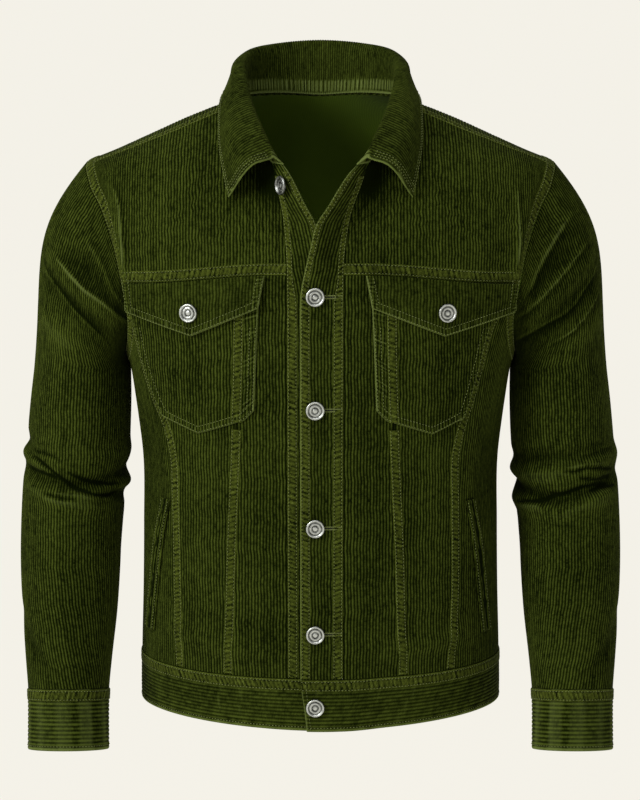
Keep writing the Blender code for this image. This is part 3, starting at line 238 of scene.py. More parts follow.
def hermite(s, start, leave, end, arrive):
    """Smooth curve between two ends, from how it leaves the one and arrives at the other."""
    return (
        (2 * s**3 - 3 * s**2 + 1) * start + (s**3 - 2 * s**2 + s) * leave
        + (3 * s**2 - 2 * s**3) * end + (s**3 - s**2) * arrive
    )


def through(table, at, column):
    """Smooth curve through a table's column, against its first column."""
    places, values = table[:, 0], table[:, column]
    slopes = np.gradient(values, places)
    at = np.clip(at, places[0], places[-1])
    i = np.clip(np.searchsorted(places, at) - 1, 0, len(places) - 2)
    span = places[i + 1] - places[i]
    return hermite((at - places[i]) / span, values[i], span * slopes[i],
                   values[i + 1], span * slopes[i + 1])


def smoothstep(low, high, value):
    s = np.clip((value - low) / (high - low), 0, 1)
    return s * s * (3 - 2 * s)


def stack(*parts):
    return np.stack(np.broadcast_arrays(*parts), axis=-1)


def window(value, rise, full, fall, end):
    """1 between full and fall, smoothly down to 0 at rise and at end."""
    return smoothstep(rise, full, value) * smoothstep(end, fall, value)


def unit(vectors):
    return vectors / np.maximum(np.linalg.norm(vectors, axis=-1, keepdims=True), 1e-12)


# ---- torso form


def section(height, way):
    """Half width, depth and squareness of the torso at a height; way is below 0 at the front."""
    depth = np.where(way < 0, through(TORSO, height, 2), through(TORSO, height, 3))
    return through(TORSO, height, 1), depth, through(TORSO, height, 4)


def fullness(points):
    """1 on the torso's surface, less inside it and more outside."""
    x, y, z = np.moveaxis(points, -1, 0)
    width, depth, power = section(z, y)
    return (np.abs(x) / width) ** power + (np.abs(y) / depth) ** power


def form_gap(points):
    """How far points stand off the torso's form, and the way out."""
    step = 1e-5
    slopes = stack(*(fullness(points + d) - fullness(points - d) for d in step * np.eye(3)))
    size = np.linalg.norm(slopes, axis=-1)
    return (fullness(points) - 1) * 2 * step / size, slopes / size[..., None]


def torso_normal(points):
    return form_gap(points)[1]


def around(turn, height):
    """Torso point at a turn round the body: -90 degrees at the front, 0 at the wearer's left."""
    cosine, sine = np.cos(turn), np.sin(turn)
    width, depth, power = section(height, sine)
    return stack(
        width * np.sign(cosine) * np.abs(cosine) ** (2 / power),
        depth * np.sign(sine) * np.abs(sine) ** (2 / power),
        height,
    )


def turn_at(x, height, way):
    """The turn of the torso point at x, on the front (way -1) or the back (1)."""
    width, _, power = section(height, way)
    quarter = way * np.arccos(np.clip(np.abs(x) / width, 0, 1) ** (power / 2))
    return np.where(x < 0, way * math.pi - quarter, quarter)


def reached(point_at, low, high):
    """The point where a way from inside the torso meets its form, between two distances."""
    for _ in range(44):
        middle = (low + high) / 2
        inside = fullness(point_at(middle)) < 1
        low, high = np.where(inside, middle, low), np.where(inside, high, middle)
    return point_at(low)


def over(x, angle):
    """Torso point at x and an angle over the shoulder: 0 straight up, negative to the front."""
    x, angle = np.broadcast_arrays(x, angle)
    y, z = np.sin(angle), np.cos(angle)
    ends = np.zeros(x.shape), np.full(x.shape, 0.2)
    return reached(lambda reach: stack(x, reach * y, OVER_HEIGHT + reach * z), *ends)


def on_plan(x, y):
    """Torso point above a place in plan, on the upper side."""
    x, y = np.broadcast_arrays(x, y)
    ends = np.full(x.shape, OVER_HEIGHT), np.full(x.shape, TORSO[-1, 0])
    return reached(lambda z: stack(x, y, z), *ends)


def front(x, height):
    """Point of the torso's front at x."""
    width, depth, power = section(height, -1)
    share = np.minimum(np.abs(x) / width, 1) ** power
    return stack(x, -depth * (1 - share) ** (1 / power), height)


def armhole(angle, side=1):
    """Armhole seam on the torso: angle 0 at the top, 90 degrees at the front, 180 below."""
    height = ARMHOLE_MIDDLE + ARMHOLE_HALF_HEIGHT * np.cos(angle)
    sine = np.sin(angle)
    reach = np.where(sine > 0, ARMHOLE_FRONT, ARMHOLE_BACK)
    y = -reach * np.sign(sine) * np.abs(sine) ** ARMHOLE_FULLNESS
    y = y * (1 - ARMHOLE_EGG * np.cos(angle))
    width, depth, power = section(height, y)
    x = width * (1 - (np.abs(y) / depth) ** power) ** (1 / power)
    return stack(side * x, y, height)


def crease_height(across, along, ends, depth, width):
    """Height of one soft fold at places on the cloth; it dies away past both ends."""
    a0, b0, a1, b1 = ends
    length = math.hypot(a1 - a0, b1 - b0)
    t = ((across - a0) * (a1 - a0) + (along - b0) * (b1 - b0)) / length**2
    side = ((across - a0) * (b1 - b0) - (along - b0) * (a1 - a0)) / length
    return depth * window(t, -0.25, 0.3, 0.7, 1.25) * np.exp(-((side / width) ** 2))


def torso_relief(points):
    """Height of the torso's folds over its plain form, the same on both sides of the body."""
    x, y, z = np.moveaxis(points, -1, 0)
    total = np.zeros(x.shape)
    for *ends, side, depth, width in TORSO_FOLDS:
        height = crease_height(np.abs(x), z, ends, depth, width)
        total += height * smoothstep(0, 0.05, side * y)
    return total


def lap(points):
    """Lift of the left front, which laps over the right one below the open neck."""
    near = 1 - smoothstep(*LAP_FADES, points[..., 0] - FRONT_X)
    return LAP * near * smoothstep(-0.096, -0.114, points[..., 2])


def flared(points):
    """Moves points of the fronts forward where the open neck edges stand off."""
    x, y, z = np.moveaxis(points, -1, 0)
    away = np.abs(x - through(OPENING, z, 1)) - np.maximum(through(OPENING, z, 2), 0)
    push = through(OPENING, z, 3) * np.exp(-((np.maximum(away, 0) / FLARE_REACH) ** 2))
    push = np.where(y < 0, push * smoothstep(-0.035, -0.056, z), 0)
    return points - stack(0, push, 0)


def torso_layer(base, height, laps=False):
    """Torso points moved out by a height, over the folds and the front's lap."""
    relief = torso_relief(base) + height + (lap(base) if laps else 0)
    return flared(base + torso_normal(base) * relief[..., None])


# ---- lines and borders


def lengths(points, axis=0):
    """Running length of a grid of points along an axis, from 0."""
    steps = np.linalg.norm(np.diff(points, axis=axis), axis=-1)
    start = np.zeros_like(np.take(steps, [0], axis=axis))
    return np.concatenate([start, np.cumsum(steps, axis=axis)], axis=axis)


def metric(line):
    """Shares of a line's length at its points."""
    reach = lengths(line)
    return reach / reach[-1]


def at_shares(line, known, at):
    """Points of a line at places along it; known are the places of the line's own points."""
    return np.stack([np.interp(at, known, c) for c in np.asarray(line).T], axis=-1)


def along(line, at, scale=1):
    """Points at shares of a line's length, with its first column stretched by a scale."""
    line = np.asarray(line, float)
    return at_shares(line, metric(line * (scale, 1)), at)


def evened(line, spacing=SEAM_SPACING):
    """Resamples a line of points at an even spacing."""
    reach = lengths(line)
    count = max(8, math.ceil(reach[-1] / spacing))
    return at_shares(line, reach, np.linspace(0, reach[-1], count))


def patch(near, far, columns, rows, bottom=None, top=None):
    """Grid of places inside four border lines, given at the shares of columns and rows.

    A border is straight where its bottom or top line is left out.
    """
    low, high = (
        (level(near[end], far[end], columns) if line is None else line)[:, None]
        for end, line in ((0, bottom), (-1, top))
    )
    near, far, q, r = near[None], far[None], columns[:, None, None], rows[None, :, None]
    corners = (1 - q) * ((1 - r) * low[0] + r * high[0]) + q * ((1 - r) * low[-1] + r * high[-1])
    return (1 - r) * low + r * high + (1 - q) * near + q * far - corners


def shares(count, *extra):
    """Even shares from 0 to 1, with extra ones put in."""
    return np.unique(np.round(np.concatenate([np.linspace(0, 1, count + 1), extra]), 5))


def yoke_seam(x):
    """Height of the front yoke seam at x."""
    return YOKE_SEAM - YOKE_DROP * smoothstep(0.045, 0.195, np.abs(x))


def armhole_angle(height_at, low, high):
    """Angle where the armhole passes a height that may depend on x."""
    angles = np.linspace(low, high, 600)
    points = armhole(angles)
    miss = points[:, 2] - height_at(points[:, 0])
    order = np.argsort(miss)
    return float(np.interp(0, miss[order], angles[order]))


def side_turn(side, way):
    """Turn of a side of the body, coming from the front (way -1) or the back (1)."""
    return 0 if side > 0 else way * math.pi


def turns_at_x(x, height, way):
    return stack(turn_at(x, height, way), height)


def level(start, end, columns):
    """A line of turns and heights between two ends."""
    return start + (end - start) * columns[:, None]


def seam_offset(column, side, heights):
    """Distance of a front seam from the centre front line."""
    if column == 1:
        return through(FRONT_SEAMS, heights, 1)
    column = 2 if side > 0 else 3
    corner = side * (side * CORNER[0] - FRONT_X)
    short = corner - FRONT_SEAMS[-1, column]
    return through(FRONT_SEAMS, heights, column) + short * smoothstep(-0.215, -0.173, heights)


def seam_line(column, side, gap, heights):
    """A front seam as turns and heights, moved sideways by a gap."""
    offset = seam_offset(column, side, heights) + gap
    return turns_at_x(FRONT_X + side * offset, heights, -1)


def under_yoke(start, end, columns):
    """The top of a front panel, a gap below the yoke seam."""
    turns = start[0] + (end[0] - start[0]) * columns
    heights = YOKE_SEAM
    for _ in range(3):
        heights = yoke_seam(around(turns, heights)[:, 0]) - HALF
    return stack(turns, heights)


def rows_up(low, high, rows):
    return low + (high - low) * rows


def nudged(angles, first, last):
    """Armhole angles with the ends moved inwards by half a seam gap."""
    angles = angles.copy()
    angles[0] += first * HALF / ARMHOLE_HALF_HEIGHT
    angles[-1] -= last * HALF / ARMHOLE_HALF_HEIGHT
    return angles


def neck(angle):
    """Neck seam point on the torso: angle 0 at the wearer's left, 90 degrees at the back."""
    reach = np.where(np.sin(angle) < 0, NECK_FRONT, NECK_BACK)
    return on_plan(NECK_HALF_WIDTH * np.cos(angle), reach * np.sin(angle))


def shoulder_ends():
    """Neck and armhole angles where the shoulder seam ends."""
    ends = []
    for line, angles, way in (
        (neck, np.radians(np.linspace(-30, 0, 300)), 1), (armhole, np.linspace(0.05, 1, 300), -1),
    ):
        x, y, _ = line(angles).T
        ends.append(float(np.interp(0, way * (y - through(SHOULDER_SEAM, x, 1)), angles)))
    return ends


NECK_TURN, SHOULDER_ANGLE = shoulder_ends()
CORNER_ANGLE = armhole_angle(yoke_seam, 1.2, 2.4)
CORNER = armhole(CORNER_ANGLE)
BACK_CORNER_ANGLE = armhole_angle(lambda x: BACK_YOKE_SEAM + 0 * x, math.pi + 0.5, 2 * math.pi)


def domain(points):
    """x and over-the-shoulder angle of torso points."""
    x, y, z = np.moveaxis(points, -1, 0)
    return stack(x, np.arctan2(y, z - OVER_HEIGHT))


NECK_CORNER = neck(-NECK_END)  # where the neck seam meets the sewn edge of a placket


def ridge_line(hole_x, count):
    """The shoulder seam from the neck to the armhole."""
    x = np.linspace(float(neck(NECK_TURN)[0]), hole_x, count)
    return on_plan(x, through(SHOULDER_SEAM, x, 1))


def sewn_edge(height, side):
    """x of a placket's sewn edge."""
    lean = smoothstep(YOKE_SEAM, NECK_CORNER[2] + 0.03, height)
    lean = lean * 0.72 + 0.28 * smoothstep(-0.11, NECK_CORNER[2], height)
    return (FRONT_X + side * PLACKET_IN) * (1 - lean) + side * NECK_CORNER[0] * lean


def front_edge(height, side):
    """x of a front's free edge."""
    opening = np.where(height > OPENING[0, 0], through(OPENING, height, 2), OPENING[0, 2])
    return through(OPENING, height, 1) + side * opening


def front_line(offsets, heights, side):
    """Torso points at offsets from the centre front line."""
    return around(turn_at(FRONT_X + side * offsets, heights, -1), heights)


def even_turns(start, end, count):
    """Turns that split the hem between two turns into even lengths."""
    fine = np.linspace(start, end, 2001)
    reach = lengths(around(fine, HEM))
    return np.interp(np.linspace(0, reach[-1], count + 1), reach, fine)


def sleeve_section(angle, height):
    """Point of a sleeve section at the wearer's left: angle 0 outside, 90 degrees in front."""
    half_width, half_depth = through(SLEEVE, height, 3), through(SLEEVE, height, 4)
    forward = half_depth * np.sin(angle)
    lean = FOREARM_LEAN * smoothstep(-0.34, -0.56, height)
    return stack(
        through(SLEEVE, height, 1) + half_width * np.cos(angle),
        through(SLEEVE, height, 2) - forward,
        height + lean * forward,
    )


def sleeve_form(angle, length):
    """Sleeve point: length 0 to 1 over the cap from the armhole, 1 to 2 down the arm."""
    angle, length = np.broadcast_arrays(angle, length)
    hole = armhole(angle)
    start = hole + torso_normal(hole) * torso_relief(hole)[..., None]
    start[..., 0] += SLEEVE_CLEAR
    end = sleeve_section(angle, CAP_TOP)
    chord = np.linalg.norm(end - start, axis=-1)[..., None]
    topness = ((1 + np.cos(angle)) / 2)[..., None]
    leave = np.array(CAP_LEAVES) * topness + np.array(UNDERARM_LEAVES) * (1 - topness)
    arrive = np.array(CAP_ARRIVES) * topness + np.array(UNDERARM_ARRIVES) * (1 - topness)
    s = np.clip(length, 0, 1)[..., None]
    cap = hermite(s, start, chord * leave, end, chord * arrive)
    arm = sleeve_section(angle, CAP_TOP + (CUFF_BOTTOM - CAP_TOP) * np.clip(length - 1, 0, 1))
    return np.where(length[..., None] < 1, cap, arm)


def sleeve_normal(angle, length):
    step = 1e-4
    round_it = sleeve_form(angle + step, length) - sleeve_form(angle - step, length)
    low, high = np.clip(length - step, 0, 2), np.clip(length + step, 0, 2)
    down_it = sleeve_form(angle, high) - sleeve_form(angle, low)
    return unit(np.cross(round_it, down_it))


def sleeve_relief(angle, points, sleeve):
    """Height of one sleeve's folds at a place."""
    girth = angle / (2 * math.pi)
    total = np.zeros(points.shape[:-1])
    for *ends, depth, width, side in SLEEVE_FOLDS:
        if side == -sleeve:
            continue
        ends = np.array(ends) * (SLEEVE_GIRTH, 1, SLEEVE_GIRTH, 1)
        for turn in (-1, 0, 1):
            across = (girth + turn) * SLEEVE_GIRTH
            total += crease_height(across, points[..., 2], ends, depth, width)
    return total * smoothstep(-0.06, -0.11, points[..., 2])


def sleeve_layer(angle, length, height, side):
    base = sleeve_form(angle, length)
    start_fade = smoothstep(0, 0.35, length)
    relief = sleeve_relief(angle, base, side) * start_fade + height
    points = base + sleeve_normal(angle, length) * relief[..., None]
    return points * (side, 1, 1)


def neck_edge(place):
    """Middle of the body wall's upper edge under the collar, and the outward normal there."""
    side = np.where(place < 0, -1, 1)
    share = 1 - np.abs(place)
    strip = np.clip(share / COLLAR_STRIP, 0, 1)
    height = OPENING_TOP + (NECK_CORNER[2] - OPENING_TOP) * strip
    free = front_edge(OPENING_TOP, side)
    x = free + (side * NECK_CORNER[0] - free) * strip
    turn = np.maximum(share - COLLAR_STRIP, 0) / (1 - COLLAR_STRIP)
    rest = neck(-NECK_END + turn * (NECK_END + math.pi / 2)) * stack(side, 1, 1)
    base = np.where(share[..., None] < COLLAR_STRIP, front(x, height), rest)
    return torso_layer(base, -CLOTH / 2), torso_normal(base)


def collar_sections(place):
    """Knots of the collar's sections from the neck seam over the roll to the outer edge."""
    side = np.where(place < 0, -1, 1)
    share = 1 - np.abs(place)
    mirrored = COLLAR[-2] * (1, -1, 1, 1, -1, 1, 1, -1, 1, 1, 1)
    mirrored[0] = 2 - mirrored[0]
    table = np.vstack([COLLAR, mirrored])
    flip = stack(side, 1, 1)
    roll, fall, edge = (
        stack(*(through(table, share, 1 + 3 * k + axis) for axis in range(3))) * flip
        for k in range(3)
    )
    radius = through(table, share, 10)[..., None]
    foot, normal = neck_edge(place)
    edge_way = unit(np.gradient(foot, axis=0))
    rise = roll - foot
    rise = unit(rise - edge_way * np.sum(rise * edge_way, axis=-1, keepdims=True))
    tilt = np.abs(np.sum(normal * rise, axis=-1, keepdims=True))
    near_end = 0.0006 * smoothstep(COLLAR_STRIP * 1.3, 0, share)[..., None]
    foot = foot + rise * (2 * SEAM_GAP + near_end + tilt * CLOTH / 2)
    rise = unit(roll - foot)
    drop = unit(fall - roll)
    turned = np.sum(drop * rise, axis=-1, keepdims=True)
    out = unit(drop - rise * turned)
    wide = radius * (1 - turned) / 2
    fall, edge = clear_of_body(fall, COLLAR_REST), clear_of_body(edge, COLLAR_REST)
    rise, out, drop = rise * radius, out * wide, drop * radius
    return np.array([
        foot, foot + (roll - foot - rise) * 0.5, roll - rise, roll - rise * 0.3 + out * 0.3,
        roll + out, roll + out * 1.7 + drop * 0.35, roll + out * 2 + drop * 1.2, fall, edge,
    ])


def clear_of_body(points, clear):
    """Moves points out until they stand clear of the torso."""
    for _ in range(4):
        away, out = form_gap(points)
        points = points + out * np.maximum(clear - away, 0)[..., None]
    return points


def collar_grid(place, across):
    """Collar points at places -1 to 1 along it and shares 0 to 1 across it."""
    knots = collar_sections(place)
    chords = lengths(knots)
    grid = np.empty((place.size, across.size, 3))
    for i in range(place.size):
        where = np.interp(across, COLLAR_KNOTS, chords[:, i])
        table = np.column_stack([chords[:, i], knots[:, i]])
        grid[i] = stack(*(through(table, where, axis) for axis in (1, 2, 3)))
    return grid


def grid_normal(grid):
    """Normals of a grid of points, from its columns and rows."""
    return unit(np.cross(np.gradient(grid, axis=0), np.gradient(grid, axis=1)))


def direction(vector):
    return Vector([float(v) for v in vector])


def surface_frame(x, height, lift, laps):
    """Place and normal of the dressed front at x, over its layers."""
    dx, dz = 0.004 * np.array(((0, 1, -1, 0, 0), (0, 0, 0, 1, -1)))
    dressed = torso_layer(front(x + dx, height + dz), lift, laps)
    normal = unit(np.cross(dressed[1] - dressed[2], dressed[3] - dressed[4]))
    return dressed[0] + normal * SEAM_GAP, normal


# ---- cloth


def waves(s, length, seed=0):
    """Uneven waves along a seam, -1 to 1."""
    k = 2 * math.pi / length
    slow = np.sin(0.113 * k * s + 1.9 * seed) + 0.7 * np.sin(0.047 * k * s + 3.1 * seed)
    swing = 0.7 * np.sin(k * s + 1.5 * slow + seed) + 0.3 * np.sin(1.83 * k * s - slow + 2.3 * seed)
    return swing * (0.75 + 0.35 * np.sin(0.21 * k * s + 4 * seed))


def cut_shade(edge):
    """Darkening beside a cut edge that goes under a seam."""
    return -0.28 * (1 - smoothstep(0.0004, 0.0026, edge))


def edge_light(edge, width=0.0018):
    """Worn light line along a folded edge."""
    return 0.42 * (1 - smoothstep(0.4 * width, width, edge))


LEVELS = np.linspace(-0.66, 0.03, 139)
TURNS = np.linspace(-math.pi, math.pi, 1441)
ARCS = lengths(around(TURNS[None, :], LEVELS[:, None]), 1)


def arc_at(turn, height):
    """Length round the body at a height, from the wearer's right to a turn."""
    i = np.clip((height - LEVELS[0]) / (LEVELS[1] - LEVELS[0]), 0, len(LEVELS) - 1.001)
    j = np.clip((turn - TURNS[0]) / (TURNS[1] - TURNS[0]), 0, len(TURNS) - 1.001)
    i0, j0 = i.astype(int), j.astype(int)
    fi, fj = i - i0, j - j0
    low = ARCS[i0, j0] * (1 - fj) + ARCS[i0, j0 + 1] * fj
    high = ARCS[i0 + 1, j0] * (1 - fj) + ARCS[i0 + 1, j0 + 1] * fj
    return low * (1 - fi) + high * fi


PHASES = 3  # points across one wale


def snapped(count, step):
    """For each of many columns, the nearest one of every few that a plain inner side keeps."""
    kept = np.minimum(np.round(np.arange(count) / step).astype(int) * step, count - 1)
    kept[-1] = count - 1
    return kept


class Weave:
    """The wales over a grid of points.

    u is each point's distance across the wales, edge its distance from an edge of the cloth, and
    snap the columns that the plain inner side keeps.
    """

    def __init__(self, u, edge, pitch, phase=0, height=1, fade=0.0012, snap=None):
        self.u, self.edge, self.pitch, self.snap = u, edge, pitch, snap
        self.phase, self.height, self.fade = phase, height, fade

    def wales(self):
        """Height of the wales over the cloth's plain outer side."""
        ridge = np.abs(np.cos(math.pi * (self.u / self.pitch + self.phase))) ** 0.6
        ridge = ridge * smoothstep(0, self.fade, self.edge)
        return sizes().wale_height * self.height * (ridge - 0.85)


def woven(places, u, pitch=None, scale=1):
    """Columns that follow the wales over a piece's places, cut off at its two borders.

    places are columns by rows, and u is each place's distance across the wales.
    """
    pitch = pitch or sizes().wale_pitch
    run = lengths(places[..., 1:2] * scale, 1)
    wide = u * 9
    u = u + sizes().wale_wander * (
        np.sin(run * 150 + wide) + 0.7 * np.sin(run * 331 - 2.1 * wide + 1)
        + 0.8 * np.sin(run * 61 + 3.7 * wide)
    )
    if u[-1].mean() < u[0].mean():
        places, u = places[::-1], u[::-1]
    step = pitch / PHASES
    marks = np.arange(math.floor(u.min() / step) - 0.5, math.ceil(u.max() / step) + 1) * step
    at = np.clip(marks[:, None], u[0], u[-1])
    near, far = at - u[0], u[-1] - at
    weave = Weave(at, np.minimum(near, far), pitch, snap=snapped(marks.size, 2 * PHASES))
    weave.near, weave.far = near, far
    columns = range(places.shape[1])
    weave.places = np.stack([at_shares(places[:, r], u[:, r], at[:, r]) for r in columns], axis=1)
    weave.at = np.moveaxis(weave.places, -1, 0)
    return weave


def mesh_data(name, mesh):
    """Mesh data of a finished bmesh."""
    data = bpy.data.meshes.new(name)
    mesh.to_mesh(data)
    mesh.free()
    return data


def shown(name, data):
    """A new object in the scene."""
    made = bpy.data.objects.new(name, data)
    bpy.context.scene.collection.objects.link(made)
    return made


def cloth_mesh(name, outer, inner, across, along, snap=None, wear=None):
    """A closed shell between two grids of points, with the distances across and along as its UV.

    The inner side takes only the columns in snap; faces of the inner side have material 1.
    The painted light and wear given last are kept at the points: painted shade below 0.5, down to 0
    in deep shade, 0.5 plain, painted highlights and worn light edges above it.
    """
    columns, rows = outer.shape[:2]
    if snap is not None:
        inner = inner[snap]
    mesh = bmesh.new()
    mesh.loops.layers.uv.new("wale")
    bmesh.ops.create_grid(mesh, x_segments=columns - 1, y_segments=rows - 1, size=1, calc_uvs=True)
    place = mesh.verts.layers.int.new("place")
    flat_outer, flat_inner = (
        side.transpose(1, 0, 2).reshape(-1, 3).tolist() for side in (outer, inner)
    )
    for index, vertex in enumerate(mesh.verts):
        vertex[place] = index
        vertex.co = flat_inner[index]
    kept, kept_faces = set(mesh.verts), set(mesh.faces)
    bmesh.ops.extrude_face_region(
        mesh, geom=mesh.faces[:] + mesh.edges[:] + mesh.verts[:], use_keep_orig=True
    )
    for vertex in mesh.verts:
        if vertex not in kept:
            vertex.co = flat_outer[vertex[place]]
    for face in mesh.faces:
        face.material_index = 1 if face in kept_faces else 0
        face.smooth = True
    bmesh.ops.remove_doubles(mesh, verts=mesh.verts[:], dist=2e-6)
    bmesh.ops.dissolve_degenerate(mesh, edges=mesh.edges[:], dist=1e-7)
    bmesh.ops.recalc_face_normals(mesh, faces=mesh.faces[:])
    data = mesh_data(name, mesh)
    layer = data.uv_layers["wale"].data
    uv = np.empty(len(layer) * 2, dtype=np.float32)
    layer.foreach_get("uv", uv)
    i = np.rint(uv[0::2] * (columns - 1)).astype(int).clip(0, columns - 1)
    j = np.rint(uv[1::2] * (rows - 1)).astype(int).clip(0, rows - 1)
    uv[0::2], uv[1::2] = across[i, j], along[i, j]
    layer.foreach_set("uv", uv)
    marks = np.empty(len(data.vertices), dtype=np.int32)
    data.attributes["place"].data.foreach_get("value", marks)
    data.attributes.remove(data.attributes["place"])
    wear = np.full(across.shape, 0.5) if wear is None else np.clip(wear, 0, 1)
    kept_wear_and_painted_light = np.broadcast_to(wear, across.shape).T.reshape(-1)[marks]
    layer = data.attributes.new("wear", "FLOAT", "POINT").data
    layer.foreach_set("value", kept_wear_and_painted_light.astype(np.float32))
    return data


def placed(name, data, *looks):
    """A new object of a mesh, with its materials."""
    data.name = name
    data.set_sharp_from_angle(angle=math.radians(80))
    for look in looks:
        data.materials.append(look)
    return shown(name, data)


def cut_of(base):
    """Flat width, length and area of a piece from the grid of its plain form."""
    width = lengths(base, 0)[-1].max()
    length = lengths(base, 1)[:, -1].max()
    a, b = np.diff(base[:, :-1], axis=0), np.diff(base[:-1], axis=1)
    area = np.linalg.norm(np.cross(a, b), axis=-1).sum()
    return float(width), float(length), float(min(area, width * length))


def sewn(node, base, outer, inner, weave, rests_on=(), held="draped", wear=None, run=None):
    """Makes a cloth piece, lays it over its node and notes its cut.

    run is each point's distance along the wales, where they don't follow the columns.
    """
    across = weave.u / weave.pitch + weave.phase
    run = lengths(base, 1).mean(axis=0) if run is None else run
    along_it = np.broadcast_to(run / weave.pitch, across.shape)
    data = cloth_mesh(node, outer, inner, across, along_it, weave.snap, wear)
    pressed = node.startswith(("pocket_flap", "collar", "waistband"))
    face = look("corduroy_pressed" if pressed else "corduroy_face")
    back = look("corduroy_face" if node == "collar" else "corduroy_back")
    made = placed(node + "_cloth", data, face, back)
    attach(made, "root")
    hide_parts(node)
    CUTS[node] = (cut_of(base), held, list(rests_on))


CUTS = {}


def state_cuts():
    """Goes over the noted cut of every cloth piece and turns what each rests on into a list; it
    states nothing.
    """
    for node, ((width, length, area), held, rests_on) in CUTS.items():
        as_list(rests_on)


def trim(name, meshes, look):
    """Joins several meshes into one piece that lies on the cloth."""
    whole = bmesh.new()
    for part in meshes:
        whole.from_mesh(part)
        bpy.data.meshes.remove(part)
    made = placed(name, mesh_data(name, whole), look)
    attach(made, "root")


# ---- torso pieces


def fine_rows(length, spacing=None, *extra):
    return shares(max(4, math.ceil(length / (spacing or sizes().row_spacing))), *extra)


def dress(name, base, weave, rise=0, laps=False, rests_on=(), held="draped", thick=CLOTH,
          wear=None):
    """Makes a body piece from its places on the torso form."""
    crease = torso_relief(base)
    side = -1 if name.endswith("right") else 1
    lift, worn_and_painted_light = fold_lines(-np.abs(base[..., 0]), base[..., 2], TORSO_LINES, side)
    ahead = smoothstep(0, 0.03, -base[..., 1])
    more = rise + 0.35 * crease + lift * ahead
    outer = torso_layer(base, weave.wales() + more, laps)
    inner = torso_layer(base, more - thick, laps)
    # Painted light and shade: fold ridges painted lighter, hollows darker, the front's fold lines
    # painted, and painted shade beside cut edges by default.
    wear = cut_shade(weave.edge) if wear is None else wear
    sewn(name, base, outer, inner, weave, rests_on, held, 0.5 + crease * 40 + worn_and_painted_light * ahead + wear)


def panel(name, grid, reference, laps, yoke):
    """Makes a body panel below a yoke; its wales run straight down beside a line of turns."""
    turns, heights = np.moveaxis(grid, -1, 0)
    weave = woven(grid, arc_at(turns, heights) - arc_at(reference(heights), heights))
    dress(name, around(*weave.at), weave, 0, laps, (yoke,))


def upright(x, way):
    """A line of turns at one distance from the centre."""
    return lambda heights: turn_at(x, heights, way)


def below_hole(angles, side, way):
    """Lower part of an armhole as turns and heights, from its corner to the side of the body."""
    arc = armhole(angles, side)
    top = turns_at_x(arc[:, 0], arc[:, 2], way) - (0, 1e-5)
    top[-1, 0] = side_turn(side, way) + way * side * HALF / 0.15
    return top


def side_grid(near, top, columns, rows):
    """Grid of a panel that ends at the side of the body, below the armhole."""
    far = stack(top[-1, 0], rows_up(near[0, 1], top[-1, 1], rows))
    return patch(near, far, columns, rows, top=along(top, columns, TURN_SCALE))


def make_fronts(side, word):
    low, yoke = BAND_TOP + HALF, f"front_yoke_{word}"
    rows, columns = fine_rows(0.4), shares(80)
    x = FRONT_X + side * (PLACKET_IN + HALF)
    seam_x = FRONT_X + side * seam_offset(1, side, YOKE_SEAM)
    edge, inner, outer = (
        rows_up(low, top - HALF, rows) for top in (yoke_seam(x), yoke_seam(seam_x), CORNER[2])
    )
    for kind, near, far, middle in (
        ("centre", turns_at_x(x, edge, -1), seam_line(1, side, -HALF, inner), x),
        ("middle", seam_line(1, side, HALF, inner), seam_line(2, side, -HALF, outer),
         FRONT_X + side * 0.112),
    ):
        grid = patch(near, far, columns, rows, top=under_yoke(near[-1], far[-1], columns))
        panel(f"front_panel_{kind}_{word}", grid, upright(middle, -1), side > 0, yoke)
    near = seam_line(2, side, HALF, outer)
    top = below_hole(nudged(np.linspace(CORNER_ANGLE, math.pi, 60), 1, 0), side, -1)
    near[-1] = top[0]
    flat = side_turn(side, -1) - side * 0.42
    grid = side_grid(near, top, columns, rows)
    panel(f"front_panel_side_{word}", grid, lambda _: flat, False, yoke)


def make_backs():
    """Three back panels below the back yoke."""
    rows, columns = fine_rows(0.41), shares(90)
    heights = rows_up(BAND_TOP + HALF, BACK_YOKE_SEAM - HALF, rows)
    seam = through(BACK_SEAMS, heights, 1)
    near, far = (turns_at_x(side * (seam - HALF), heights, 1) for side, _ in SIDES)
    grid = patch(near, far, columns, rows)
    panel("back_panel_centre", grid, lambda _: math.pi / 2, False, "back_yoke")
    for side, word in SIDES:
        near = turns_at_x(side * (seam + HALF), heights, 1)
        curve = below_hole(nudged(np.linspace(math.pi, BACK_CORNER_ANGLE, 60), 0, 1)[::-1], side, 1)
        curve[0, 1] = near[-1, 1]
        straight = level(near[-1], curve[0], np.linspace(0, 1, 30))
        grid = side_grid(near, np.concatenate([straight, curve[1:]]), columns, rows)
        panel(f"back_panel_side_{word}", grid, upright(side * 0.115, 1), False, "back_yoke")


def yoke_arc(x):
    """Length across the body along the front yoke seam, from the centre to x."""
    xs = np.linspace(0, 0.26, 521)
    return np.sign(x) * np.interp(np.abs(x), xs, lengths(front(xs, yoke_seam(xs))))


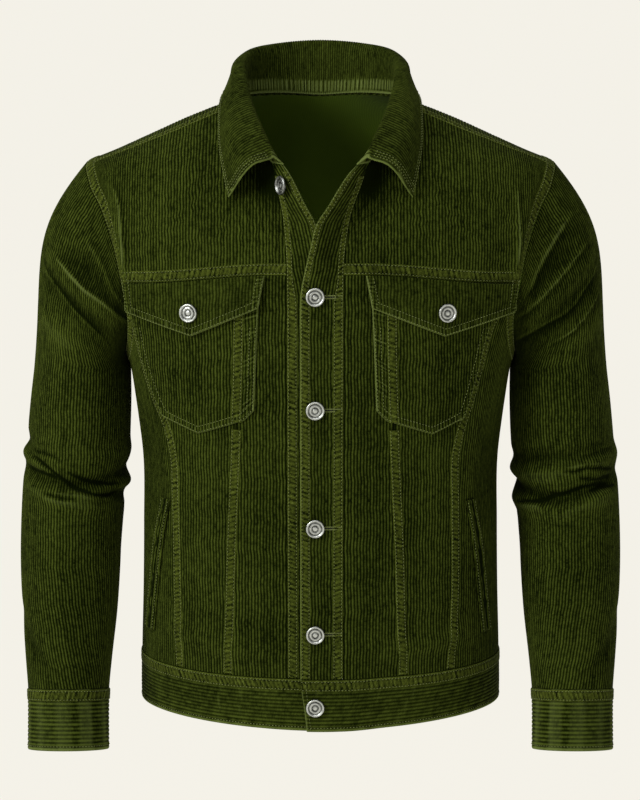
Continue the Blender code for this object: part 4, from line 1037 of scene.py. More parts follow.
def make_front_yoke(side, word):
    start = FRONT_X + side * (PLACKET_IN + HALF)
    hole = armhole(nudged(np.linspace(SHOULDER_ANGLE, CORNER_ANGLE, 50), 1, 1)[::-1])
    neck_line = neck(np.linspace(-NECK_END + 0.003, NECK_TURN - 0.002, 40))
    ridge = ridge_line(hole[-1, 0], 60) - (0, HALF, 0)
    line = np.concatenate([neck_line[:-1], ridge[:-1], hole[-1:]]) * (side, 1, 1)
    columns, rows = shares(110), fine_rows(0.17)
    top = at_shares(domain(line), metric(line), columns)
    even = np.linspace(0, 1, 200)
    xs = start + (side * CORNER[0] - start) * even
    bottom = at_shares(domain(front(xs, yoke_seam(xs) + HALF)), even, columns)
    right = domain(hole * (side, 1, 1))
    bottom[-1] = right[0]
    heights = rows_up(yoke_seam(start) + HALF, line[0, 2], rows)
    left = domain(front(sewn_edge(heights, side) + side * HALF, heights))
    left[0], left[-1] = bottom[0], top[0]
    grid = patch(left, at_shares(right, metric(hole), rows), columns, rows, bottom, top)
    weave = woven(grid, yoke_arc(grid[..., 0]))
    base = over(*weave.at)
    # Painted shadow under the collar's fall, darkest about 47 mm out from the middle and 69 mm below
    # the origin, over painted shade beside the cut edges.
    dx, dz = (np.abs(base[..., 0]) - 0.047) / 0.019, (base[..., 2] + 0.069) / 0.025
    collar_shadow = -0.62 * np.exp(-(dx**2 + dz**2)) + cut_shade(weave.edge)
    dress(f"front_yoke_{word}", base, weave, 0, side > 0, ("back_yoke",), wear=collar_shadow)


def settled(u):
    """Makes distances fall along every line of columns, where a border doubles back."""
    low = np.minimum.accumulate(u, axis=0)
    high = np.maximum.accumulate(u[::-1], axis=0)[::-1]
    even = u[0] + (u[-1] - u[0]) * np.linspace(0, 1, len(u))[:, None]
    return 0.44 * (low + high) + 0.12 * even


def make_back_yoke():
    mirror = (-1, 1, 1)
    hole = armhole(nudged(np.linspace(BACK_CORNER_ANGLE, SHOULDER_ANGLE + 2 * math.pi, 60), 1, 1))
    height = BACK_YOKE_SEAM + HALF
    low = around(turn_at(np.linspace(hole[0, 0], -hole[0, 0], 301), height, 1), height)
    low[0], low[-1] = hole[0], hole[0] * mirror
    ridge = ridge_line(hole[-1, 0], 80) + (0, HALF, 0)
    back = neck(np.linspace(NECK_TURN + 0.003, math.pi - NECK_TURN - 0.003, 160))
    line = np.concatenate(
        [hole[-1:], ridge[-2::-1], back[1:-1], ridge[:-1] * mirror, hole[-1:] * mirror]
    )
    columns, rows = shares(300), fine_rows(0.17)
    top, bottom, left = (
        at_shares(domain(border), metric(border), at)
        for border, at in ((line, columns), (low, columns), (hole, rows))
    )
    grid = patch(left, left * (-1, 1), columns, rows, bottom, top)
    weave = woven(grid, settled(yoke_arc(grid[..., 0])))
    dress("back_yoke", over(*weave.at), weave, rests_on=("collar",))


def make_placket(side, word):
    low = BAND_TOP + HALF
    rows = fine_rows(0.51, None, 0.8, 0.83, 0.86, 0.89, 0.92, 0.95, 0.975)
    heights, free = rows_up(low, NECK_CORNER[2] - HALF, rows), rows_up(low, OPENING_TOP, rows)
    near = stack(sewn_edge(heights, side) - side * HALF, heights)
    far = stack(front_edge(free, side), free)
    grid = patch(near, far, shares(40), rows)
    weave = woven(grid, np.abs(grid[..., 0] - far[:, 0]))
    weave.height = 0.6
    wear = edge_light(weave.near) + cut_shade(weave.far)
    dress(f"placket_{word}", front(*weave.at), weave, 0.0002, side > 0,
          (f"front_panel_centre_{word}",), "folded", PLACKET_THICK, wear)


# ---- waistband, sleeves and cuffs


def ribbed(columns, height):
    """Level wales of a band cut along them, and the shares of its height at its rows."""
    count = round(height / sizes().rib_pitch)
    rows = np.linspace(0, 1, count * 4 + 1)
    u = np.broadcast_to(rows * height, (columns, rows.size))
    return Weave(u, np.minimum(u, height - u), height / count, 0.5, 1.15, 0.001), rows


def band_layer(turn, heights, height):
    """Point of the waistband, which laps over its own right end at the front."""
    base = around(turn, heights)
    near = 1 - smoothstep(*LAP_FADES, base[..., 0] - FRONT_X)
    going = np.where(turn < BAND_TURNS[1] + (BAND_TURNS[0] - BAND_TURNS[1]) * 0.25, near, 0)
    lift = going * (DOUBLE + SEAM_GAP + 0.0002) + 0.0006 + height
    return base + torso_normal(base) * lift[..., None]


BAND_TURNS = (
    float(turn_at(FRONT_X + PLACKET_OUT, BAND_TOP, -1)),
    float(turn_at(FRONT_X - PLACKET_OUT, BAND_TOP, -1)) - 2 * math.pi,
)


def make_waistband():
    """One strip round the hem, from the right end under the left one."""
    close = np.array((0.0012, 0.0022)) / arc_step(BAND_TURNS[0])
    turn = even_turns(*BAND_TURNS, 180), BAND_TURNS[0] - close, BAND_TURNS[1] + close
    turn = np.sort(np.concatenate(turn))[::-1, None]
    ribs, rows = ribbed(turn.size, BAND_TOP - HALF - HEM)
    turn, heights = np.broadcast_arrays(turn, HEM + (BAND_TOP - HALF - HEM) * rows)
    base = around(turn, heights)
    outer, inner = (band_layer(turn, heights, height) for height in (ribs.wales(), -DOUBLE))
    reach = lengths(base)
    # Painted light: the band is painted a little lighter all over; its two ends get worn light
    # edges.
    wear = 0.07 + edge_light(np.minimum(reach, reach[-1:] - reach))
    sewn_band("waistband", base, outer, inner, ribs, ribs.u, "front_panel_middle_left", wear)


def sewn_band(name, base, outer, inner, ribs, hem, rests_on, wear):
    """Makes a band; hem is each point's distance from its folded lower edge."""
    run = lengths(base)
    wear = 0.5 + wear + 0.3 * (1 - smoothstep(0.001, 0.004, hem)) + 0.1 * waves(run, 0.021, 0.4)
    sewn(name, base, outer, inner, ribs, (rests_on,), "folded", wear, run)


ARM_TURNS = np.linspace(-math.pi, math.pi, 361)
ARM_SPAN = CAP_TOP - CUFF_BOTTOM
SLEEVE_END = 1 + (CAP_TOP - CUFF_TOP) / ARM_SPAN


def arm_rows():
    """Lengths down a sleeve, closer over the cap's folds and the elbow."""
    heights = np.concatenate([
        np.arange(CAP_TOP - 0.005, -0.338, -0.008),
        np.arange(-0.34, -0.412, -0.002),
        np.arange(-0.418, CUFF_TOP + 0.004, -0.008),
    ])
    below = 1 + (CAP_TOP - heights) / ARM_SPAN
    return np.concatenate([np.linspace(0, 1, 78), below, [SLEEVE_END]])


def make_sleeve(side, word):
    angle, length = np.broadcast_arrays(ARM_TURNS[:, None], arm_rows())
    reach = lengths(sleeve_form(angle, length))
    weave = woven(stack(angle, length), reach - reach[len(reach) // 2], scale=ARM_SPAN)
    angle, length = weave.at
    base = sleeve_form(angle, length)
    heights, girth = base[..., 2], np.mod(angle / (2 * math.pi), 1)
    fold = sleeve_relief(angle, base, side) * smoothstep(0, 0.35, length)
    more, worn_and_painted_light = fold_lines(girth * SLEEVE_GIRTH, heights, SLEEVE_LINES, side, SLEEVE_GIRTH)
    outer = sleeve_layer(angle, length, weave.wales() + more, side)
    inner = sleeve_layer(angle, length, more - CLOTH, side)
    # Painted light and shade: fold ridges lighter, hollows darker, the fold lines' painted light,
    # and painted shade under the arm by the armpit.
    under = window(girth, 0.24, 0.44, 0.54, 0.7) * window(heights, -0.33, -0.23, -0.19, -0.15)
    wear = 0.5 + np.clip(fold * 55, -0.25, 0.14) + worn_and_painted_light - 0.38 * under
    sewn(f"sleeve_{word}", base, outer, inner, weave, (f"front_yoke_{word}", "back_yoke"),
         wear=wear)


# Sharp fold lines of the sleeves: the sleeve (1 the wearer's left, -1 the right), strength (a
# crest over 0, a trough below), then girth and height along it in thousandths; girth is 0
# outside, 250 in front and 500 inside
SLEEVE_LINES = (
    (-1, 1, 60, -152, 120, -171, 166, -187, 219, -205, 279, -222, 330, -236),
    (-1, 1, 100, -140, 121, -147, 181, -167, 227, -182, 275, -193.5, 325, -208, 400, -222),
    (-1, 0.7, 160, -124, 195, -141, 237, -160, 282, -183, 330, -200),
    (1, 1, 100, -101, 135, -114, 170, -129, 214, -149, 246, -164.5, 270, -177, 320, -196),
    (1, 1, 85, -126, 132, -142.5, 176, -159, 222, -175, 271, -191, 315, -203, 380, -217),
    (1, 1, 60, -148, 107, -167, 144, -180, 184, -195, 224, -206, 278, -214.5, 331, -224, 374,
     -230.5, 440, -238),
    (1, 0.9, 70, -180, 90, -185.5, 128, -197, 169, -211, 217, -224, 256, -231.5, 310, -241),
    (-1, -1, 60, -350, 91, -353.5, 141, -358, 179, -364.5, 229, -375.5, 265, -384, 295, -388,
     341, -393.5, 394, -396, 470, -392),
    (-1, -1, 70, -367, 100, -368.5, 154, -370, 192, -372.5, 223, -377),
    (-1, -0.9, 230, -367, 253, -370, 293, -376, 337, -380.5, 389, -384.5, 450, -385),
    (-1, -0.8, 170, -390, 194, -391.5, 225, -394, 255, -395, 285, -395.5),
    (-1, -0.6, 100, -349, 122, -350, 159, -350.5, 194, -353, 220, -356),
    (1, -1, 90, -384, 124, -382.5, 171, -382, 209, -382.5, 244, -386, 278, -390.5, 300, -391.5,
     350, -389),
    (1, -0.9, 60, -372, 103, -369, 151, -366, 204, -364.5, 240, -367.5, 290, -366),
    (1, 0.7, 60, -345, 96, -346, 126, -346, 174, -348.5, 240, -352),
    (1, -0.8, 60, -388, 100, -386.5, 143, -386, 205, -389),
    (1, -1, 290, -392, 324, -395, 355, -400, 394, -402, 470, -406),
    (1, -0.8, 70, -376, 114, -376, 169, -377, 240, -374),
    (0, 1, 660, -216, 760, -200, 860, -178, 930, -158),
    (0, 0.8, 700, -250, 800, -232, 900, -205),
    (0, -1, 700, -386, 800, -378, 900, -373, 960, -371),
    (0, -0.8, 740, -402, 830, -395, 930, -391),
)
# The same for the torso's front, with distances from the middle below 0
TORSO_LINES = (
    (-1, 0.9, -214.8, -68, -202.6, -85, -197.9, -101.5, -194.5, -137, -193.8, -167),
    (1, 0.9, -194.5, -70, -194.8, -90, -195.5, -111, -195.7, -135, -192.1, -164),
    (0, 0.6, -90, -562, -72, -556, -60, -545),
)


def fold_lines(across, along, lines, side, scale=1):
    """Heights of sharp fold lines at places on the cloth, and the painted highlights and painted
    shade along them.

    The first of the lines' two distances is multiplied by a scale.
    """
    height, wear = np.zeros(across.shape), np.zeros(across.shape)
    for only, kind, *points in lines:
        if only == -side:
            continue
        line = np.reshape(points, (-1, 2)) / 1000 * (scale, 1)
        nearest, off = np.full(across.shape, 9), np.zeros(across.shape)
        share = np.zeros(across.shape)
        reach = lengths(line)
        for a, b, start in zip(line, line[1:], reach):
            way = b - a
            size = math.hypot(*way)
            t = np.clip(((across - a[0]) * way[0] + (along - a[1]) * way[1]) / size**2, 0, 1)
            dx, dz = across - a[0] - way[0] * t, along - a[1] - way[1] * t
            gap = np.hypot(dx, dz)
            closer = gap < nearest
            nearest = np.where(closer, gap, nearest)
            off = np.where(closer, gap * np.sign(dx * way[1] - dz * way[0]) * side, off)
            share = np.where(closer, (start + size * t) / reach[-1], share)
        fade = window(share, 0, 0.22, 0.78, 1) * abs(kind)
        if kind > 0:
            # A crest: a painted highlight along it, and painted shade on its side away from the
            # light.
            height += 0.0014 * fade * np.exp(-((nearest / 0.0026) ** 2))
            shade = np.where(off > 0, np.exp(-off / 0.0055) * smoothstep(0.0006, 0.002, off), 0)
            wear += fade * (0.27 * np.exp(-((nearest / 0.0012) ** 2)) - 0.44 * shade)
        else:
            # A trough: painted shade along it, and a faint painted highlight beside it.
            height -= 0.0022 * fade * np.exp(-((nearest / 0.0024) ** 2))
            beside_it = np.exp(-(((nearest - 0.0043) / 0.0017) ** 2))
            wear += fade * (0.07 * beside_it - 0.62 * np.exp(-((nearest / 0.0016) ** 2)))
    return height, wear


def make_cuff(side, word):
    start = SLEEVE_END + SEAM_GAP / ARM_SPAN
    ribs, rows = ribbed(73, 0.0605)
    angle = np.linspace(0, 2 * math.pi, 73)[:, None]
    angle, length = np.broadcast_arrays(angle, start + (2 - start) * rows)
    base = sleeve_form(angle, length)
    outer = sleeve_layer(angle, length, CUFF_LIFT + ribs.wales(), side)
    inner = sleeve_layer(angle, length, CUFF_LIFT - DOUBLE, side)
    # Painted light: the cuff is painted lighter all over.
    sewn_band(f"cuff_{word}", base, outer, inner, ribs, ribs.u[:, ::-1], f"sleeve_{word}", 0.16)


# ---- collar


COLLAR_ACROSS = np.concatenate([
    (0, 0.012, 0.024, 0.04, 0.06, 0.08, 0.1, 0.12, 0.14, 0.17, 0.21, 0.25, 0.29, 0.32),
    np.arange(0.35, 0.56, 0.02),
    (0.58, 0.62, 0.66, 0.7, 0.74, 0.78, 0.82, 0.86, 0.89, 0.92, 0.94, 0.96, 0.975, 0.99, 1),
])


def collar_places():
    """Places along the collar that follow its wales, even along the fold of its fall."""
    fine = np.linspace(-1, 1, 321)
    reach = lengths(collar_grid(fine, np.array((0, 0.76)))[:, 1])
    step, half = sizes().wale_pitch / PHASES, reach[160]
    count = int(half / step - 0.5)
    u = np.concatenate([[-half], (np.arange(-count, count) + 0.5) * step, [half]])
    return np.interp(u + half, reach, fine), u


def make_collar():
    """The collar, puckered beside the stitching of its edges and behind its neck seam."""
    place, u = collar_places()
    base = collar_grid(place, COLLAR_ACROSS)
    normal, reach = grid_normal(base), lengths(base, 1)
    u = np.broadcast_to(u[:, None], reach.shape)
    ends, edge = np.minimum(u - u[0], u[-1] - u), reach[:, -1:] - reach
    weave = Weave(u, np.minimum(ends, edge), sizes().wale_pitch, snap=snapped(len(u), 2 * PHASES))
    by_edge = window(edge, 0.0005, 0.002, 0.0055, 0.0085)
    by_ends = window(ends, 0.0005, 0.002, 0.0075, 0.0105)
    by_foot = window(reach, 0.0025, 0.004, 0.0125, 0.0165)
    fall = waves(u, 0.0048, 0.7) * by_edge + waves(reach, 0.005, 2.1) * by_ends
    fall = fall * smoothstep(0.4, 0.5, reach / reach[:, -1:])
    bumps = fall + waves(u, 0.0056, 1.7) * by_foot
    edge_round = 0.0007 * (1 - smoothstep(0, 0.0016, weave.edge))
    wales = weave.wales() * (1 - 0.5 * np.minimum(np.abs(bumps), 1))
    height = wales + sizes().pucker_height * bumps - edge_round
    outer = base + normal * (DOUBLE / 2 + height)[..., None]
    inner = base - normal * (DOUBLE / 2 - edge_round)[..., None]
    # Painted highlights and shade on the puckers, and worn light edges; the cloth is also lighter
    # along the neck seam and its puckered border.
    wear = 0.5 + edge_light(weave.edge, 0.0026) + 0.26 * bumps * (1 + 0.6 * by_foot)
    wear = wear + 0.5 * (1 - smoothstep(0.0012, 0.0024, reach)) + 0.24 * by_foot
    sewn("collar", base, outer, inner, weave, ("back_yoke",), "folded", wear)


# ---- pockets


def border(distance, width):
    """1 in a stitched border, 0 at the edge and past its inner stitching."""
    return window(distance, 0.0006, 0.0018, width - 0.001, width + 0.001)


def on_front(name, host, side, weave, low, high, widths, closed_top=True, slit=None, glow=1):
    """A stitched piece that lies on a front between two heights, held by its host.

    widths are those of its puckered borders: the inner one, the outer one and the ends. glow
    scales the painted highlights and shade of the borders' puckers, their worn light edges and their
    lighter tone.
    """
    base = front_line(*weave.at, side)
    under = lengths(base, 1)
    over_it = under[:, -1:] - under
    near, far = widths[:2][::side]
    sides = np.maximum(border(weave.near, near), border(weave.far, far))
    ends = border(under, widths[2])
    if closed_top:
        ends = np.maximum(ends, border(over_it, widths[2]))
    bumps = waves(under.mean(axis=0), 0.0046, side + 2) * sides
    bumps = bumps + waves(weave.u, 0.0046, 2) * ends
    weave.edge = np.minimum(weave.edge, np.minimum(under, over_it if closed_top else 1))
    band = np.maximum(sides, ends)
    # Painted highlights and shade on the puckers, worn light edges, and slightly lighter borders.
    wear = 0.5 + glow * (0.27 * bumps + edge_light(weave.edge) + 0.05 * band)
    wales = weave.wales() * (1 - 0.5 * band)
    if slit is not None:
        gap = np.abs((weave.far if side > 0 else weave.near) - slit)
        # Painted shadow in the slit, and a painted highlight on the lip beside it.
        wear = wear - 0.9 * (1 - smoothstep(0.0006, 0.0013, gap))
        wear = wear + 0.22 * window(gap, 0.0009, 0.0014, 0.0014, 0.0022)
        wales = wales - 0.0006 * (1 - smoothstep(0.0005, 0.0012, gap))
    height = wales + sizes().pucker_height * bumps + 0.0004 * band
    height = height - 0.0006 * (1 - smoothstep(0, 0.0014, weave.edge))
    outer, inner = (torso_layer(base, lift, side > 0) for lift in (high + height, low))
    sewn(name, base, outer, inner, weave, (host,), "laid", wear)


def front_weave(grid, side):
    """Wales of a piece on a front, beside a line on the panel under it."""
    heights = grid[..., 1]
    turn, line = (turn_at(FRONT_X + side * x, heights, -1) for x in (grid[..., 0], POCKET_GRAIN))
    return woven(grid, arc_at(turn, heights) - arc_at(line, heights))


def flap_corners(side):
    """x of a flap's outer end, and the corners of its lower edge."""
    outer_x = side * (side * CORNER[0] - FRONT_X) - FLAP_INSET
    inner_corner, outer_corner = FLAP_INNER[1], (outer_x - 0.003, FLAP_OUTER)
    point = ((inner_corner[0] + outer_corner[0]) / 2, FLAP_POINT)
    return outer_x, np.array((inner_corner, point, outer_corner))


def make_flap(side, word):
    outer_x, corners = flap_corners(side)
    columns, rows = shares(100), fine_rows(0.05, 0.0012)
    x = FLAP_INNER[0][0] + (outer_x - FLAP_INNER[0][0]) * columns
    top = stack(x, yoke_seam(FRONT_X + side * x) - 2 * SEAM_GAP)
    low = along(corners, columns)
    near, far = (level(low[end], top[end], rows) for end in (0, -1))
    weave = front_weave(patch(near, far, columns, rows, low, top), side)
    lift = FLAP_LIFT + FLAP_LEAN * (1 - rows)
    on_front(f"pocket_flap_{word}", f"front_yoke_{word}", side, weave, lift, lift + DOUBLE,
             (0.0072,) * 3, False)


def pouch_borders(side, rows):
    """Inner and outer border of a pouch, and the corners of its lower edge."""
    heights = rows_up(POUCH_BOTTOM[-1][1], -0.19, rows)
    far = stack(seam_offset(2, side, heights) - 0.002, heights)
    near = along((POUCH_BOTTOM[0], POUCH_LEFT, (FLAP_INNER[0][0] + 0.004, -0.169)), rows)
    return near, far, np.array((*POUCH_BOTTOM[:-1], tuple(far[0])))


def make_pouch(side, word):
    rows, columns = fine_rows(0.125, 0.0014), shares(100)
    near, far, bottom = pouch_borders(side, rows)
    weave = front_weave(patch(near, far, columns, rows, along(bottom, columns)), side)
    on_front(f"pocket_pouch_{word}", f"front_panel_middle_{word}", side, weave, POUCH_LIFT,
             POUCH_LIFT + POUCH_THICK, (0.0125, 0.0068, 0.0068))


def make_welt(side, word):
    outer = along(WELT[::-1], fine_rows(0.145, 0.0014))
    away = WELT_WIDTH * (1 - shares(16)[:, None])
    grid = stack(outer[:, 0] + side * (WELT_LINE_X - FRONT_X) - away, outer[:, 1])
    weave = woven(grid, np.broadcast_to(-away, grid.shape[:2]), 0.0026)
    on_front(f"pocket_welt_{word}", f"front_panel_side_{word}", side, weave, WELT_LIFT,
             WELT_LIFT + WELT_THICK, (0.0035,) * 3, slit=0.0046, glow=0.15)


# ---- seams and stitching


def on_form(points):
    """Moves points straight onto the torso's form."""
    for _ in range(4):
        away, out = form_gap(points)
        points = points - out * away[..., None]
    return points


FELL_SHARES = np.array((0, 0.06, 0.15, 0.27, 0.42, 0.58, 0.73, 0.85, 0.94, 1))
FELL_STITCHED = (2, 7)  # the places of its two stitchings among these shares
FELL_PROFILE = np.array((-0.5, 0.35, 0.05, 0.75, 0.6, 0.8, 0.7, 0.05, 0.35, -0.5))


def beside(curve, toward, width):
    """Torso points from a curve on the form out to a width, or widths along it, beside it."""
    tangent = unit(np.gradient(curve, axis=0))
    side = np.cross(torso_normal(curve), tangent)
    side = unit(side) * np.sign(np.sum(side * toward))
    known = np.linspace(0, 1, np.size(width))
    width = np.interp(np.linspace(0, 1, len(curve)), known, np.ravel(width))
    reach = width[:, None] * FELL_SHARES
    return on_form(curve[:, None] + side[:, None] * reach[..., None])


def fell_waves(s, seed):
    """Puckers of a felled seam's strip, and how full they are between its two stitchings."""
    swing = waves(s[:, None] + 0.004 * (FELL_SHARES - 0.5), sizes().pucker_pitch, seed)
    return swing, window(FELL_SHARES, 0.1, 0.28, 0.72, 0.9)


def fell_heights(s, seed, rise):
    """Heights of a felled seam's strip: pinned down at its two stitchings, puckered between."""
    swing, body = fell_waves(s, seed)
    rim = np.where((FELL_SHARES > 0.03) & (FELL_SHARES < 0.97), 1, 0)
    bumps = sizes().pucker_height * swing * (0.35 * rim + 0.65 * body)
    plain = rise * (0.35 + 0.65 * np.maximum(FELL_PROFILE, 0))
    return (plain + bumps) * rim - 0.0006 * (1 - rim)


# Painted light and wear across a felled seam's strip: painted shade at its tucked edges and along
# its two stitchings, a worn light folded edge.
FELL_WEAR_AND_PAINTED_LIGHT = np.array((0.1, 0.86, 0.16, 0.38, 0.42, 0.42, 0.38, 0.16, 0.6, 0.08))


def fell_wear_and_painted_light(s, seed):
    """Painted light and wear of a felled seam's strip: painted highlights on the puckers, worn light
    folded edges, painted shade in the stitching.
    """
    swing, body = fell_waves(s, seed)
    beaded = waves(s[:, None], sizes().stitch_gap, seed)
    return FELL_WEAR_AND_PAINTED_LIGHT + 0.52 * swing * body + 0.3 * beaded * (1 - body)


def upright_at(place, tangent, side):
    """The cloth's own upright at places, and the way across a tangent there."""
    up = unit(np.cross(tangent, side))
    up = up * outward_sign(place, up)[:, None]
    return up, np.cross(up, tangent)


class Sewing:
    """Collects the strips and stitches of one region."""

    def __init__(self):
        self.strips, self.stitches = [], []

    def fell(self, line, toward, width, seed, laps=False, lift=0):
        """A felled seam from a line on the torso's form to a width beside it."""
        self.strip(beside(evened(line), toward, width), front_layer(laps, lift), seed)

    def strip(self, base, layer, seed, rise=FELL_RISE):
        """A puckered strip over base places (along, across), and its two stitchings."""
        s = lengths(base[:, base.shape[1] // 2])
        heights = fell_heights(s, seed, rise)
        outer, inner = layer(base, heights), layer(base, -0.0008 + 0 * heights)
        across = np.broadcast_to(s[:, None] / sizes().pucker_pitch, heights.shape)
        along_it = np.broadcast_to(FELL_SHARES, heights.shape)
        snap = np.minimum(np.round(np.arange(s.size) / 4).astype(int) * 4, s.size - 1)
        wear = fell_wear_and_painted_light(s, seed)
        self.strips.append(cloth_mesh("strip", outer, inner, across, along_it, snap, wear))
        for i in FELL_STITCHED:
            self.stitch(outer[:, i], outer[:, i + 1] - outer[:, i - 1])

    def stitch(self, path, side):
        """Stitches along a path; side is a way across it, to find the cloth's own upright."""
        half, reach = sizes().stitch_length / 2, lengths(path)
        count = int(reach[-1] / sizes().stitch_gap)
        if count < 1:
            return
        at = (np.arange(count) + 0.5) * reach[-1] / count
        place, ahead, behind = (at_shares(path, reach, at + d) for d in (0, half, -half))
        tangent = unit(ahead - behind)
        side = at_shares(np.broadcast_to(side, path.shape), reach, at)
        up, across = upright_at(place, tangent, side)
        frames = np.stack([across * STITCH_WIDE, tangent * half, up * STITCH_HIGH], axis=1)
        self.stitches.append((place + up * STITCH_LIFT, frames))

    def bars(self, path):
        """Short upright thread bars side by side along a path."""
        reach = lengths(path)
        place = at_shares(path, reach, np.linspace(0, reach[-1], int(reach[-1] / BAR_GAP)))
        tangent = unit(np.gradient(place, axis=0))
        up, across = upright_at(place, tangent, (0, 0, 1))
        frames = np.stack([tangent * BAR_WIDE, across * BAR_HALF, up * BAR_WIDE], axis=1)
        self.stitches.append((place, frames))

    def made(self, name):
        """Makes the strips and the stitches as two pieces."""
        if self.strips:
            trim(name + "_strips", self.strips, look("corduroy_seam"))
        place, frames = (np.concatenate(parts) for parts in zip(*self.stitches))
        trim(name + "_stitches", [beads(place, frames)], look("sewing_thread"))


def outward_sign(place, up):
    """1 where a way points away from the middle of the body or of the sleeve, -1 elsewhere."""
    x, _, z = place.T
    middle = stack(np.where(np.abs(x) > 0.2, np.sign(x) * 0.255, 0), 0, np.minimum(z, -0.08))
    return np.where(np.sum((place - middle) * up, axis=-1) < 0, -1, 1)


def beads(place, frames):
    """One mesh of many small spindles, each a few faces."""
    seed = bmesh.new()
    bmesh.ops.create_uvsphere(seed, u_segments=6, v_segments=2, radius=1)
    corners = np.array([v.co[:] for v in seed.verts])[:, (0, 2, 1)]
    faces = np.array([[v.index for v in f.verts] for f in seed.faces])[:, ::-1]
    seed.free()
    points = place[:, None] + np.einsum("vk,nkc->nvc", corners, frames)
    whole = faces[None] + (np.arange(len(place)) * len(corners))[:, None, None]
    data = bpy.data.meshes.new("beads")
    data.from_pydata(points.reshape(-1, 3).tolist(), [], whole.reshape(-1, 3).tolist())
    data.shade_smooth()
    return data


def front_layer(laps, lift=0):
    return lambda base, heights: torso_layer(base, heights + lift, laps)


def make_front_seams(side, word):
    work, low = Sewing(), BAND_TOP + 0.001
    foot = np.interp(seam_offset(1, side, -0.31), *np.array(POUCH_BOTTOM).T) + 0.0008
    for column, start, top, count, seed, lift in (
        (1, low, -0.315, 400, 1 + side, 0),
        (2, low, -0.185, 400, 4 + side, 0),
        (1, foot, -0.19, 200, 1.6, POUCH_LIFT + POUCH_THICK - 0.0001),
    ):
        places = seam_line(column, side, -0.0052, np.linspace(start, top, count))
        work.fell(around(*places.T), (side, 0, 0), 0.0104, seed, side > 0, lift)
    far = side * (side * CORNER[0] - FRONT_X) - 0.0006
    xs = FRONT_X + side * np.linspace(PLACKET_IN + 0.0006, far, 300)
    work.fell(front(xs, yoke_seam(xs) + HALF), (0, 0, 1), 0.0118, 6 + side, side > 0)
    work.made(f"front_seams_{word}")


def make_shoulder_seams(side, word):
    work = Sewing()
    ridge = ridge_line(armhole(SHOULDER_ANGLE)[0] - 0.0005, 200) * (side, 1, 1)
    work.fell(ridge, (0, 1, 0), (0.0105, 0.0085, 0.0062), 2 + side, lift=-0.0001)
    hole = armhole(np.linspace(-math.pi, math.pi, 900), side)
    work.fell(hole, (-side, 0, 0), 0.0125, 8 + side)
    work.made(f"shoulder_seams_{word}")


def make_back_seams():
    work = Sewing()
    heights = np.linspace(BAND_TOP + 0.001, BACK_YOKE_SEAM - 0.001, 400)
    seam = through(BACK_SEAMS, heights, 1) + HALF
    for side, _ in SIDES:
        line = around(*turns_at_x(side * seam, heights, 1).T)
        work.fell(line, (side, 0, 0), 0.0104, 3 + side)
    far, height = armhole(BACK_CORNER_ANGLE)[0] - 0.0006, BACK_YOKE_SEAM + HALF
    line = around(turn_at(np.linspace(-far, far, 400), height, 1), height)
    work.fell(line, (0, 0, 1), 0.0115, 5)
    work.made("back_seams")


def make_placket_seams(side, word):
    """Puckered strips on a placket, beside its free edge and beside its sewn edge."""
    work, low = Sewing(), BAND_TOP + 0.001
    for edge, way, width, high, seed in (
        (front_edge, side, 0.0098, OPENING_TOP - 0.006, 1.5),
        (sewn_edge, -side, 0.0104, NECK_CORNER[2] - 0.012, 3.5),
    ):
        heights = np.linspace(low, high, math.ceil((high - low) / SEAM_SPACING))[:, None]
        width = width * (0.55 + 0.45 * smoothstep(-0.16, -0.195, heights))
        x = edge(heights, side) + side * 0.0004 + way * width * FELL_SHARES
        work.strip(front(x, heights), front_layer(side > 0, 0.0002), seed, 0.0004)
    work.made(f"placket_seams_{word}")


def make_band_seams():
    work = Sewing()
    turn = even_turns(*BAND_TURNS, round(1 / SEAM_SPACING))
    heights = BAND_TOP - HALF - 0.0004 - 0.0125 * FELL_SHARES
    turns, heights = np.broadcast_arrays(turn[:, None], heights)
    base = around(turns, heights)
    work.strip(base, lambda _, lift: band_layer(turns, heights, lift), 2.2, 0.0005)
    ends = np.linspace(HEM + 0.0015, BAND_TOP - 0.0015, 45)
    for start, way in zip(BAND_TURNS, (-1, 1)):
        inset = way * 0.004 / arc_step(start)
        work.stitch(band_layer(start + inset, ends, 0.0002), (1, 0, 0))
    work.stitch(band_layer(turn, HEM + 0.0042, 0.0001), (0, 0, 1))
    work.made("waistband_seams")


def arc_step(turn):
    """Metres round the hem for a radian of turn, near a turn."""
    pair = around(np.array((turn - 0.01, turn + 0.01)), np.array((HEM, HEM)))
    return np.linalg.norm(pair[1] - pair[0]) / 0.02


def make_cuff_seams(side, word):
    work = Sewing()
    angle = np.linspace(0, 2 * math.pi, round(0.26 / SEAM_SPACING))
    drop = (SEAM_GAP + 0.0004 + 0.0118 * FELL_SHARES) / ARM_SPAN
    angles, length = np.broadcast_arrays(angle[:, None], SLEEVE_END + drop)
    base = sleeve_form(angles, length) * (side, 1, 1)
    work.strip(base, lambda _, lift: sleeve_layer(angles, length, CUFF_LIFT + lift, side),
               4.4 + side, 0.0005)
    hem = sleeve_layer(angle, 2 - 0.0045 / ARM_SPAN, CUFF_LIFT + 0.0001, side)
    work.stitch(hem, (0, 0, 1))
    work.made(f"cuff_seams_{word}")


